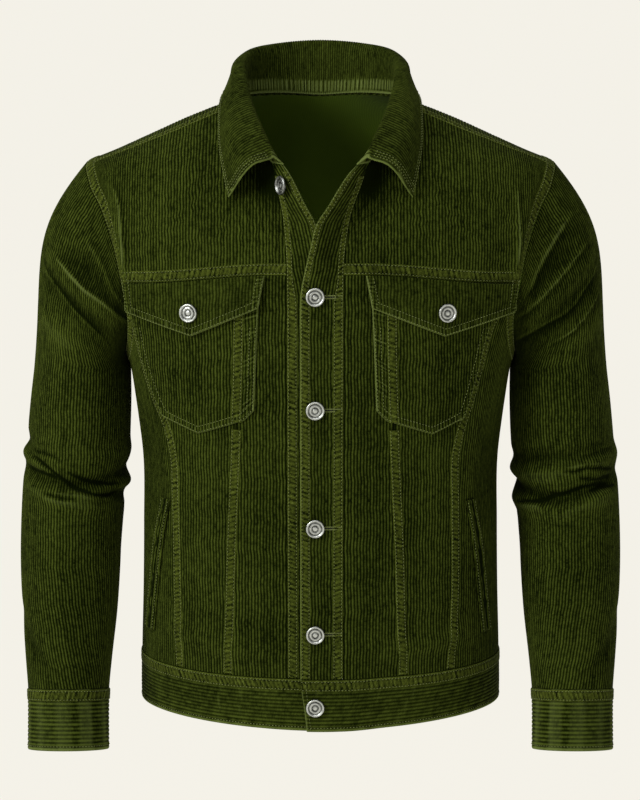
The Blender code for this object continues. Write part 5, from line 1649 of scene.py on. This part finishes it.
def make_collar_seams():
    work = Sewing()
    grid = collar_grid(collar_places()[0][::2], COLLAR_ACROSS)
    face = grid + grid_normal(grid) * (DOUBLE / 2 + 0.0002)
    reach, ends = lengths(grid, 1), lengths(face)
    for inset in (0.0018, 0.0058):
        path, near = (
            np.array([at_shares(row, r, r[-1] - back) for r, row in zip(reach, face)])
            for back in (inset, inset + 0.002)
        )
        work.stitch(path[5:-5], (near - path)[5:-5])
    for inset in (0.0022, 0.0052, 0.0086):
        for line, run in ((face, ends), (face[::-1], (ends[-1] - ends)[::-1])):
            rows = range(np.searchsorted(COLLAR_ACROSS, 0.525), COLLAR_ACROSS.size - 1)
            path = np.array([at_shares(line[:, r], run[:, r], inset) for r in rows])
            path = evened(path, 0.002)
            work.stitch(path, np.gradient(path, axis=0)[:, (1, 0, 2)] * (1, -1, 0))
    work.made("collar_seams")


def inset_path(corners, inset):
    """A line inside a chain of corners, given as offsets and heights, at an even distance."""
    legs = unit(np.diff(corners, axis=0))
    normals = stack(-legs[:, 1], legs[:, 0])
    between = normals[:-1] + normals[1:]
    between = between * 2 / np.sum(between**2, axis=1, keepdims=True)
    line = corners + inset * np.vstack([normals[:1], between, normals[-1:]])
    return along(line, np.linspace(0, 1, max(6, round(lengths(line)[-1] / 0.0015))))


def make_pocket_stitching(side, word):
    work = Sewing()
    outer_x, corners = flap_corners(side)
    top = yoke_seam(FRONT_X + side * 0.1) - 0.001
    flap = np.vstack([(FLAP_INNER[0][0], top), corners, (outer_x, top - 0.0035)])
    near, far, bottom = pouch_borders(side, np.linspace(0, 1, 30))
    pouch = np.vstack([near[::-1][10:], bottom[1:-1], far[:23]])
    for ring, inset, lift, lean in (
        (flap, 0.0016, FLAP_LIFT + DOUBLE + 0.0003, FLAP_LEAN),
        (flap, 0.0072, FLAP_LIFT + DOUBLE + 0.0003, FLAP_LEAN),
        (pouch, 0.0016, POUCH_LIFT + POUCH_THICK + 0.0002, 0),
        (pouch, 0.007, POUCH_LIFT + POUCH_THICK + 0.0002, 0),
    ):
        line = inset_path(ring, inset)
        lift = lift + lean * np.clip((-0.17 - line[:, 1]) / 0.04, 0, 1)
        way = np.gradient(line, axis=0)
        path = torso_layer(front_line(*line.T, side), lift, side > 0)
        work.stitch(path, stack(-way[:, 1] * side, 0, way[:, 0]))
    for shift in (0.0014, WELT_WIDTH - 0.0014):
        shift = side * (WELT_LINE_X - FRONT_X) - shift
        line = along(np.array(WELT) + (shift, 0), np.linspace(0.01, 0.99, 90))
        base = front_line(*line.T, side)
        work.stitch(torso_layer(base, WELT_LIFT + WELT_THICK + 0.0001, side > 0), (1, 0, 0))
    work.made(f"pocket_{word}")


def make_buttonholes():
    """Buttonholes of the left front: a slit between two rows of thread bars."""
    work, slits = Sewing(), []
    line = np.linspace(FRONT_X - 0.002, FRONT_X + 0.0262, 24)
    for height in BUTTON_HEIGHTS[:4]:
        for row in (-0.00125, 0.00125):
            work.bars(torso_layer(front(line, height + row), 0.0003, True))
        # The slit is a thin dark sheet, painted as the shadow in the opening.
        base = front(line[:, None], height + np.array((-0.0005, 0, 0.0005)))
        outer, inner = (torso_layer(base, lift, True) for lift in (0.00025, -0.0006))
        slits.append(cloth_mesh("slit", outer, inner, base[..., 0], base[..., 2]))
    trim("buttonholes_slits", slits, look("slit_shadow"))
    work.made("buttonholes")


# ---- buttons


RINGS = (
    (0, 0.00226), (0.1, 0.00236), (0.2, 0.00214), (0.27, 0.00172), (0.36, 0.0017),
    (0.43, 0.00212), (0.5, 0.00224), (0.57, 0.00212), (0.64, 0.00172), (0.72, 0.00172),
    (0.78, 0.0027), (0.85, 0.0033), (0.92, 0.0031), (0.965, 0.00262), (1, 0.00195),
    (0.985, 0.00135), (0.9, 0.00085), (0.7, 0.0005), (0.45, 0),
)


def button_mesh(place, normal, shank, lit_share):
    """A ringed shank button."""
    profile = [(r * BUTTON_RADIUS, z) for r, z in RINGS]
    profile += [(0.27 * BUTTON_RADIUS, -shank), (0, -shank)]
    mesh = bmesh.new()
    verts = [mesh.verts.new((r, 0, z)) for r, z in profile]
    edges = [mesh.edges.new(pair) for pair in zip(verts, verts[1:])]
    bmesh.ops.spin(
        mesh, geom=verts + edges, cent=(0, 0, 0), axis=(0, 0, 1), angle=2 * math.pi,
        steps=48, use_merge=True, use_duplicate=False,
    )
    bmesh.ops.remove_doubles(mesh, verts=mesh.verts[:], dist=1e-6)
    bmesh.ops.recalc_face_normals(mesh, faces=mesh.faces[:])
    turn = direction(normal).to_track_quat("Z", "Y").to_matrix()
    tops = {round(r, 3): z for r, z in RINGS[:15]}
    # Painted light: raised ring tops are painted light, while the grooves, the back and the rim's
    # outline are painted shade; the last argument scales it down on a button in shade.
    wear = mesh.verts.layers.float.new("wear")
    for vertex in mesh.verts:
        r = math.hypot(vertex.co.x, vertex.co.y) / BUTTON_RADIUS
        known = tops.get(round(r, 3)) if vertex.co.z > 0.0015 else None
        vertex[wear] = 0 if known is None else min(max((known - 0.0017) / 0.0006, 0), 1)
        if r > 0.94:
            vertex[wear] = 0.12
        vertex[wear] *= lit_share
        vertex.co.z += 0.00012 * math.sin(7 * math.atan2(vertex.co.y, vertex.co.x)) * min(r, 0.6)
        vertex.co = turn @ vertex.co + direction(place)
    for face in mesh.faces:
        face.smooth = True
    return mesh_data("button", mesh)


def make_button(name, place, normal, shank=0, lit_share=1):
    made = placed(name + "_ringed", button_mesh(place, normal, shank, lit_share), look("antique_nickel"))
    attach(made, "root")
    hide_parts(name)


def make_buttons():
    for number, height in enumerate(BUTTON_HEIGHTS, start=1):
        make_button(f"button_front_{number}", *surface_frame(FRONT_X, height, 0.0008, True))
    place, normal = surface_frame(*NECK_BUTTON, 0.0006, False)
    hanging = unit(normal - np.array((NECK_BUTTON_TURN, 0, 0)))
    middle = place - normal * 0.0001 + hanging * NECK_SHANK
    # The neck button lies in the collar's shade, so its rings get less painted light.
    make_button("button_neck", middle, hanging, NECK_SHANK, 0.45)
    for side, word in SIDES:
        lift = FLAP_LIFT + DOUBLE + 0.45 * FLAP_LEAN
        x = (side * (CORNER[0] - FLAP_INSET) + FRONT_X + side * FLAP_INNER[1][0]) / 2
        make_button(f"button_flap_{word}", *surface_frame(x, FLAP_BUTTON, lift, side > 0))


# ---- materials


def arithmetic(kind, reflected=False):
    """An operator of Value, or its reflected form."""
    if reflected:
        return lambda value, other: value.math(kind, other, value)
    return lambda value, other: value.math(kind, value, other)


class Value:
    """A number in a node tree; arithmetic on it adds Math nodes."""

    def __init__(self, tree, socket):
        self.tree, self.socket = tree, socket

    def math(self, kind, first, second=0):
        node = self.tree.nodes.new("ShaderNodeMath")
        node.operation = kind
        for slot, given in zip(node.inputs, (first, second)):
            if isinstance(given, Value):
                self.tree.links.new(given.socket, slot)
            else:
                slot.default_value = given
        return Value(self.tree, node.outputs[0])

    __add__, __radd__ = arithmetic("ADD"), arithmetic("ADD", True)
    __sub__, __rsub__ = arithmetic("SUBTRACT"), arithmetic("SUBTRACT", True)
    __mul__, __rmul__ = arithmetic("MULTIPLY"), arithmetic("MULTIPLY", True)
    __pow__ = arithmetic("POWER")

    def clamped(self):
        return self.math("MINIMUM", self.math("MAXIMUM", self, 0), 1)


class Finish:
    """A material and its nodes."""

    def __init__(self, name):
        self.material = bpy.data.materials.new(name)
        self.material.use_nodes = True
        self.tree = self.material.node_tree
        self.shader = self.tree.nodes["Principled BSDF"]

    def add(self, kind, settings=None, **links):
        """A node of a kind: its settings first, then the values or links of its sockets."""
        node = self.tree.nodes.new(kind)
        for key, given in (settings or {}).items():
            setattr(node, key, given)
        for key, given in links.items():
            self.put(node.inputs[key.replace("_", " ")], given)
        return node

    def put(self, slot, given):
        """Gives a socket a value, a link or one of the jacket's colours by its name."""
        if isinstance(given, Value):
            given = given.socket
        if isinstance(given, str):
            given = tone(getattr(colours(), given))
        if isinstance(given, bpy.types.NodeSocket):
            self.tree.links.new(given, slot)
        else:
            slot.default_value = given

    def value(self, socket):
        return Value(self.tree, socket)

    def place(self, scale=(1, 1, 1)):
        """Object coordinates, scaled."""
        coords = self.add("ShaderNodeTexCoord").outputs["Object"]
        return self.add("ShaderNodeMapping", Vector=coords, Scale=scale).outputs[0]

    def noise(self, vector, scale, detail=2, rough=0.5):
        node = self.add("ShaderNodeTexNoise", Vector=vector, Scale=scale, Detail=detail,
                        Roughness=rough)
        return self.value(node.outputs["Fac"])

    def uv(self):
        """Distances across and along the wales, in wales."""
        node = self.add("ShaderNodeUVMap", {"uv_map": "wale"})
        parts = self.add("ShaderNodeSeparateXYZ", Vector=node.outputs[0])
        return self.value(parts.outputs[0]), self.value(parts.outputs[1])

    def wear(self):
        """Painted light and wear at a place: 0 painted deep shade, 0.5 plain, 1 painted highlights
        and worn light edges.
        """
        return self.value(self.add("ShaderNodeAttribute", {"attribute_name": "wear"}).outputs["Fac"])

    def mix(self, factor, first, second):
        node = self.add("ShaderNodeMix", {"data_type": "RGBA"})
        for slot, given in ((0, factor), (6, first), (7, second)):
            self.put(node.inputs[slot], given)
        return node.outputs[2]

    def scaled(self, colour, factor):
        """A colour times a number."""
        node = self.add("ShaderNodeVectorMath", {"operation": "SCALE"})
        self.put(node.inputs[0], colour[:3])
        self.put(node.inputs["Scale"], factor)
        return node.outputs[0]

    def bumped(self, height, strength, distance):
        node = self.add("ShaderNodeBump", Height=height, Strength=strength, Distance=distance)
        return node.outputs[0]

    def set(self, **inputs):
        for key, given in inputs.items():
            self.put(self.shader.inputs[key.replace("_", " ")], given)
        return self.material


def look(name):
    """A material of the jacket, made at its first use."""
    return bpy.data.materials.get(name) or LOOKS[name](name)


def tone(colour):
    return (*colour[:3], 1)


def wale_phase(across):
    """1 on top of a wale, 0 in the groove beside it."""
    turned = across.math("COSINE", across * (2 * math.pi))
    return (turned * 0.5 + 0.5).clamped()


def nap(finish):
    """Fine pile, and the broad patches where it lies differently."""
    fine = finish.noise(finish.place((1, 1, 0.35)), 900, 3, 0.7)
    streaks = finish.noise(finish.place((1, 1, 0.16)), 170, 3, 0.6)
    broad = finish.noise(finish.place(), 14, 4, 0.55)
    return fine, streaks, broad


def make_corduroy(name):
    """Cloth with wales, some of it pressed flatter, with painted shade in its grooves and the
    painted light and wear kept at its points.
    """
    finish, flat = Finish(name), 0.4 if name == "corduroy_pressed" else 0.1
    across, run = finish.uv()
    wear = finish.wear()
    ridge = wale_phase(across) * (1 - flat) + 0.55 * flat
    fine, streaks, broad = nap(finish)
    row = across.math("FLOOR", across + 0.5)
    spot = finish.add("ShaderNodeCombineXYZ", X=row * 3.71, Y=run * 0.45, Z=0).outputs[0]
    broken = finish.noise(spot, 1, 3, 0.7)
    own = finish.add("ShaderNodeTexWhiteNoise", {"noise_dimensions": "1D"}, W=row * 0.731)
    own = finish.value(own.outputs["Value"])
    lively = broken * 2.2 + streaks * 0.5 + broad * 0.5 + own * 0.35 - 0.95
    shade = ridge ** 1.5 * lively + (fine - 0.5) * 0.6 + (broad - 0.5) * 0.3 + (broken - 0.5) * 0.3
    # The painted light and wear at the points lighten the pile above 0.5, and darken it as painted
    # shade below.
    shade = shade * (wear * 1.8 + 0.1) + (wear - 0.5) * 0.34
    colour = finish.mix(shade.clamped(), "groove", "ridge")
    # Painted highlights and worn light edges turn to the pale worn colour.
    worn_and_painted_light = ((wear - 0.62) * 2.2 * (0.4 + fine)).clamped()
    colour = finish.mix(worn_and_painted_light, colour, "worn_and_painted_light")
    height = ridge * 0.5 + fine * 0.35 + broken * 0.35
    return finish.set(
        Base_Color=colour, Roughness=0.95, Normal=finish.bumped(height, 0.6, 0.0006),
        Sheen_Weight=0.06, Sheen_Roughness=0.4, Sheen_Tint="sheen",
        Specular_IOR_Level=0.02,
    )


def make_seam_cloth(name):
    finish = Finish(name)
    wear = finish.wear()
    fine, streaks, broad = nap(finish)
    tufts = finish.noise(finish.place(), 330, 3, 0.65)
    # Painted light and shade from the points: painted highlights on the puckers, painted shade in
    # the stitchings, with the groove colour as the painted shade.
    shade = wear * 1.1 + (tufts - 0.5) * 1.3 + (streaks - 0.5) * 0.5 + (fine - 0.5) * 0.7
    shade = shade + (broad - 0.5) * 0.4 - 0.06
    colour = finish.mix(shade.clamped(), "groove", "seam")
    colour = finish.mix(((shade - 0.75) * 1.2).clamped(), colour, "worn_and_painted_light")
    height = wear * 0.5 + fine * 0.35 + streaks * 0.4
    return finish.set(
        Base_Color=colour, Roughness=0.95, Normal=finish.bumped(height, 0.6, 0.0005),
        Sheen_Weight=0.06, Sheen_Roughness=0.45, Sheen_Tint="sheen",
        Specular_IOR_Level=0.04,
    )


def make_cloth_back(name):
    finish = Finish(name)
    twill = finish.add("ShaderNodeTexWave", {"bands_direction": "DIAGONAL"},
                       Vector=finish.place(), Scale=320, Distortion=1, Detail=2)
    weave = finish.value(twill.outputs["Fac"])
    broad = finish.noise(finish.place(), 20, 3)
    colour = finish.scaled(colours().back, 0.7 + weave * 0.25 + broad * 0.35)
    return finish.set(
        Base_Color=colour, Roughness=0.95, Normal=finish.bumped(weave, 0.3, 0.0002),
        Sheen_Weight=0.04, Specular_IOR_Level=0.03,
    )


def make_thread(name):
    finish = Finish(name)
    twist = finish.noise(finish.place(), 700, 2, 0.6)
    broad = finish.noise(finish.place(), 60, 2)
    colour = finish.scaled(colours().thread, 0.55 + twist * 0.5 + broad * 0.5)
    return finish.set(
        Base_Color=colour, Roughness=0.7, Normal=finish.bumped(twist, 0.4, 0.0002),
        Specular_IOR_Level=0.15, Sheen_Weight=0.05,
    )


def make_slit_dark(name):
    finish = Finish(name)
    fuzz = finish.noise(finish.place(), 800)
    colour = finish.scaled(colours().groove, 0.25 + fuzz * 0.3)
    return finish.set(Base_Color=colour, Roughness=1)


def make_button_metal(name):
    finish = Finish(name)
    wear = finish.noise(finish.place(), 260, 4, 0.6)
    spots = finish.noise(finish.place(), 900, 3, 0.6)
    # Painted shade: the rings' painted light at the points mixes the dark tarnish and shade colour
    # into the bright metal, with tarnish in random spots.
    painted_ring_light = finish.wear()
    shade = (painted_ring_light * 0.95 + (wear - 0.5) * 1.1 + (spots - 0.5) * 0.9 + 0.1).clamped()
    colour = finish.mix(shade, "tarnish_and_shade", "metal")
    return finish.set(
        Base_Color=colour, Metallic=1, Roughness=0.28 + wear * 0.25,
        Normal=finish.bumped(spots, 0.12, 0.0002),
    )


LOOKS = {
    "corduroy_face": make_corduroy, "corduroy_pressed": make_corduroy,
    "corduroy_seam": make_seam_cloth, "corduroy_back": make_cloth_back,
    "sewing_thread": make_thread, "slit_shadow": make_slit_dark,
    "antique_nickel": make_button_metal,
}


# ---- stage


def make_stage():
    """A wide pale floor under pale air, soft lights and the camera."""
    studio = bpy.context.scene.jacket_studio
    mesh = bmesh.new()
    bmesh.ops.create_grid(mesh, x_segments=1, y_segments=1, size=40)
    bmesh.ops.translate(mesh, verts=mesh.verts[:], vec=(0, 0, -studio.floor_drop))
    floor = shown("floor", mesh_data("floor", mesh))
    finish = Finish("floor_paper")
    grain = finish.noise(finish.place(), 40)
    colour = finish.scaled(studio.paper, 0.02 + grain * 0.005)
    finish.set(Base_Color=colour, Roughness=0.95, Specular_IOR_Level=0,
               Emission_Color=tone(studio.paper), Emission_Strength=studio.paper_glow)
    floor.data.materials.append(finish.material)
    bpy.context.scene.world = studio_air(studio)
    bpy.context.scene.view_settings.view_transform = "Standard"
    for name, place, aim, size in (
        ("key_light", (-2.1, -1.6, 1.05), -0.35, 0.9), ("fill_light", (1.8, -2.2, 0.6), -0.3, 1.8),
        ("top_light", (-0.3, -1, 2), -0.2, 1.2), ("back_light", (0.2, 2.4, 0.5), -0.3, 2.6),
    ):
        lamp(name, place, (0, 0, aim), getattr(studio, name), size)
    camera = bpy.data.cameras.new("camera")
    camera.lens, camera.sensor_width, camera.sensor_fit = 87.2, 36, "AUTO"
    camera.clip_start, camera.clip_end = 0.05, 50
    bpy.context.scene.camera = eye = shown("camera", camera)
    eye.location = (-0.0005, -2, 0.006)
    eye.rotation_euler = (math.radians(90 - 8.8), 0, 0)


def studio_air(studio):
    """Soft light from all round, with the paper's tone wherever the air itself shows."""
    world = bpy.data.worlds.new("studio_air")
    world.use_nodes = True
    nodes, links = world.node_tree.nodes, world.node_tree.links
    air = nodes["Background"]
    air.inputs[0].default_value, air.inputs[1].default_value = (1, 0.99, 0.97, 1), studio.air
    shown = nodes.new("ShaderNodeBackground")
    shown.inputs[0].default_value = tone(studio.paper)
    shown.inputs[1].default_value = studio.paper_glow + 0.006
    which, both = nodes.new("ShaderNodeLightPath"), nodes.new("ShaderNodeMixShader")
    links.new(which.outputs["Is Camera Ray"], both.inputs[0])
    links.new(air.outputs[0], both.inputs[1])
    links.new(shown.outputs[0], both.inputs[2])
    links.new(both.outputs[0], nodes["World Output"].inputs[0])
    return world


def lamp(name, place, target, power, size):
    light = bpy.data.lights.new(name, "AREA")
    light.energy, light.size = power, size
    made = shown(name, light)
    made.visible_camera = False
    made.location = place
    way = Vector(target) - Vector(place)
    made.rotation_mode = "QUATERNION"
    made.rotation_quaternion = way.to_track_quat("-Z", "Y")


# ---- settings, operators and panel


def number_of(name, default, description, **more):
    return bpy.props.FloatProperty(name=name, default=default, description=description,
                                   min=0, **more)


def size_of(*words):
    return number_of(*words, unit="LENGTH", precision=5)


def power_of(*words):
    return number_of(*words, unit="POWER")


def colour_of(name, default, description):
    return bpy.props.FloatVectorProperty(name=name, default=default, description=description,
                                         subtype="COLOR", min=0, max=1)


class JacketSizes(bpy.types.PropertyGroup):
    wale_pitch: size_of("Wale pitch", 0.0032, "From one wale of the cloth to the next")
    wale_wander: size_of("Wale wander", 0.00034, "How far a wale strays from its line")
    wale_height: size_of("Wale height", 0.0006, "Height of a wale over its groove")
    rib_pitch: size_of("Rib pitch", 0.004, "Pitch of the level wales of the waistband and cuffs")
    row_spacing: size_of("Row spacing", 0.007, "Distance between points along the wales")
    stitch_length: size_of("Stitch length", 0.0024, "Length of one stitch")
    stitch_gap: size_of("Stitch pitch", 0.0033, "From one stitch to the next")
    pucker_pitch: size_of("Pucker pitch", 0.0048, "From one pucker of a seam to the next")
    pucker_height: size_of("Pucker height", 0.00034, "Height of the puckers beside stitching")


class JacketColours(bpy.types.PropertyGroup):
    ridge: colour_of("Wale", (0.06, 0.081, 0.0105), "Colour of the pile on a wale")
    # Painted shade: the dark between the wales, also the dark end of the seams' painted shade and of
    # the slits' painted shadow.
    groove: colour_of("Groove", (0.0032, 0.0056, 0.0001), "Colour between the wales")
    # The seams' light cloth, which their painted highlights on the puckers reach.
    seam: colour_of("Seam", (0.094, 0.12, 0.015), "Colour of the worn puckers of the seams")
    # Pale pile of worn edges, also used for painted highlights on fold crests and puckers.
    worn_and_painted_light: colour_of("Worn edge", (0.15, 0.19, 0.052), "Colour of the pile worn light at edges")
    sheen: colour_of("Sheen", (0.52, 0.6, 0.2), "Tint of the pile's sheen")
    # The inner side's own colour, raised lighter as painted light for the shaded inside of the neck.
    back: colour_of("Inside", (0.075, 0.122, 0.0095), "Colour of the cloth's inner side")
    thread: colour_of("Thread", (0.155, 0.185, 0.055), "Colour of the sewing thread")
    metal: colour_of("Metal", (0.6, 0.62, 0.58), "Bright metal of the buttons")
    # Tarnish in random spots, and the painted shade of the buttons' ring grooves and rim outline.
    tarnish_and_shade: colour_of("Tarnish", (0.045, 0.048, 0.042), "Tarnished metal of the buttons")


class JacketStudio(bpy.types.PropertyGroup):
    paper: colour_of("Paper", (0.9, 0.875, 0.8), "Colour of the floor and the air over it")
    paper_glow: number_of("Paper glow", 0.998, "Light that the floor gives off")
    floor_drop: size_of("Floor drop", 1.45, "Height of the origin over the floor")
    air: number_of("Air light", 0.23, "Strength of the light from all round")
    key_light: power_of("Key light", 54, "Power of the light at the front left")
    fill_light: power_of("Fill light", 0.6, "Power of the light at the front right")
    top_light: power_of("Top light", 14, "Power of the light above")
    back_light: power_of("Back light", 16, "Power of the light behind")


def sizes():
    return bpy.context.scene.jacket_sizes


def colours():
    return bpy.context.scene.jacket_colours


def both(*makers):
    """Runs makers for the wearer's left side, then for the right."""
    for side, word in SIDES:
        for make in makers:
            make(side, word)
    return {"FINISHED"}


def once(*makers):
    for make in makers:
        make()
    return {"FINISHED"}


class MakeFronts(bpy.types.Operator):
    """Make the six panels of the fronts and their felled seams"""

    bl_idname = "jacket.fronts"
    bl_label = "Fronts"

    def execute(self, context):
        both(make_fronts)
        return both(make_front_seams)


class MakeBacks(bpy.types.Operator):
    """Make the three back panels and their seams"""

    bl_idname = "jacket.backs"
    bl_label = "Backs"

    def execute(self, context):
        return once(make_backs, make_back_seams)


class MakeYokes(bpy.types.Operator):
    """Make the front yokes and the back yoke"""

    bl_idname = "jacket.yokes"
    bl_label = "Yokes"

    def execute(self, context):
        both(make_front_yoke, make_shoulder_seams)
        return once(make_back_yoke)


class MakePlackets(bpy.types.Operator):
    """Make both plackets, their stitching and the buttonholes"""

    bl_idname = "jacket.plackets"
    bl_label = "Plackets"

    def execute(self, context):
        both(make_placket, make_placket_seams)
        return once(make_buttonholes)


class MakePockets(bpy.types.Operator):
    """Make the flap pockets, the slanted pockets and their stitching"""

    bl_idname = "jacket.pockets"
    bl_label = "Pockets"

    def execute(self, context):
        return both(make_flap, make_pouch, make_welt, make_pocket_stitching)


class MakeWaistband(bpy.types.Operator):
    """Make the waistband and its stitching"""

    bl_idname = "jacket.waistband"
    bl_label = "Waistband"

    def execute(self, context):
        return once(make_waistband, make_band_seams)


class MakeSleeves(bpy.types.Operator):
    """Make both sleeves and cuffs"""

    bl_idname = "jacket.sleeves"
    bl_label = "Sleeves"

    def execute(self, context):
        return both(make_sleeve, make_cuff, make_cuff_seams)


class MakeCollar(bpy.types.Operator):
    """Make the collar and its stitching"""

    bl_idname = "jacket.collar"
    bl_label = "Collar"

    def execute(self, context):
        return once(make_collar, make_collar_seams)


class MakeButtons(bpy.types.Operator):
    """Make the eight ringed buttons"""

    bl_idname = "jacket.buttons"
    bl_label = "Buttons"

    def execute(self, context):
        return once(make_buttons)


class MakeStage(bpy.types.Operator):
    """Make the floor, the lights and the camera"""

    bl_idname = "jacket.stage"
    bl_label = "Stage"

    def execute(self, context):
        return once(make_stage)


class JacketPanel(bpy.types.Panel):
    """Lists the jacket's settings and pieces"""

    bl_idname = "VIEW3D_PT_jacket"
    bl_label = "Corduroy Jacket"
    bl_space_type = "VIEW_3D"
    bl_region_type = "UI"
    bl_category = "Jacket"

    def draw(self, context):
        layout = self.layout
        for name, _ in GROUPS:
            group, column = getattr(context.scene, name), layout.column(align=True)
            for key in group.__annotations__:
                column.prop(group, key)
        for step in STEPS:
            layout.operator(step.bl_idname)


STEPS = (MakeFronts, MakeBacks, MakeYokes, MakePlackets, MakePockets, MakeWaistband,
         MakeSleeves, MakeCollar, MakeButtons, MakeStage)
GROUPS = (("jacket_sizes", JacketSizes), ("jacket_colours", JacketColours),
          ("jacket_studio", JacketStudio))


def register():
    for name, group in GROUPS:
        bpy.utils.register_class(group)
        setattr(bpy.types.Scene, name, bpy.props.PointerProperty(type=group))
    for step in (*STEPS, JacketPanel):
        bpy.utils.register_class(step)


def unregister():
    for step in (JacketPanel, *reversed(STEPS)):
        bpy.utils.unregister_class(step)
    for name, group in reversed(GROUPS):
        delattr(bpy.types.Scene, name)
        bpy.utils.unregister_class(group)


def main():
    register()
    for step in STEPS:
        getattr(bpy.ops.jacket, step.bl_idname.split(".")[1])()
    state_cuts()


if __name__ == "__main__":
    main()
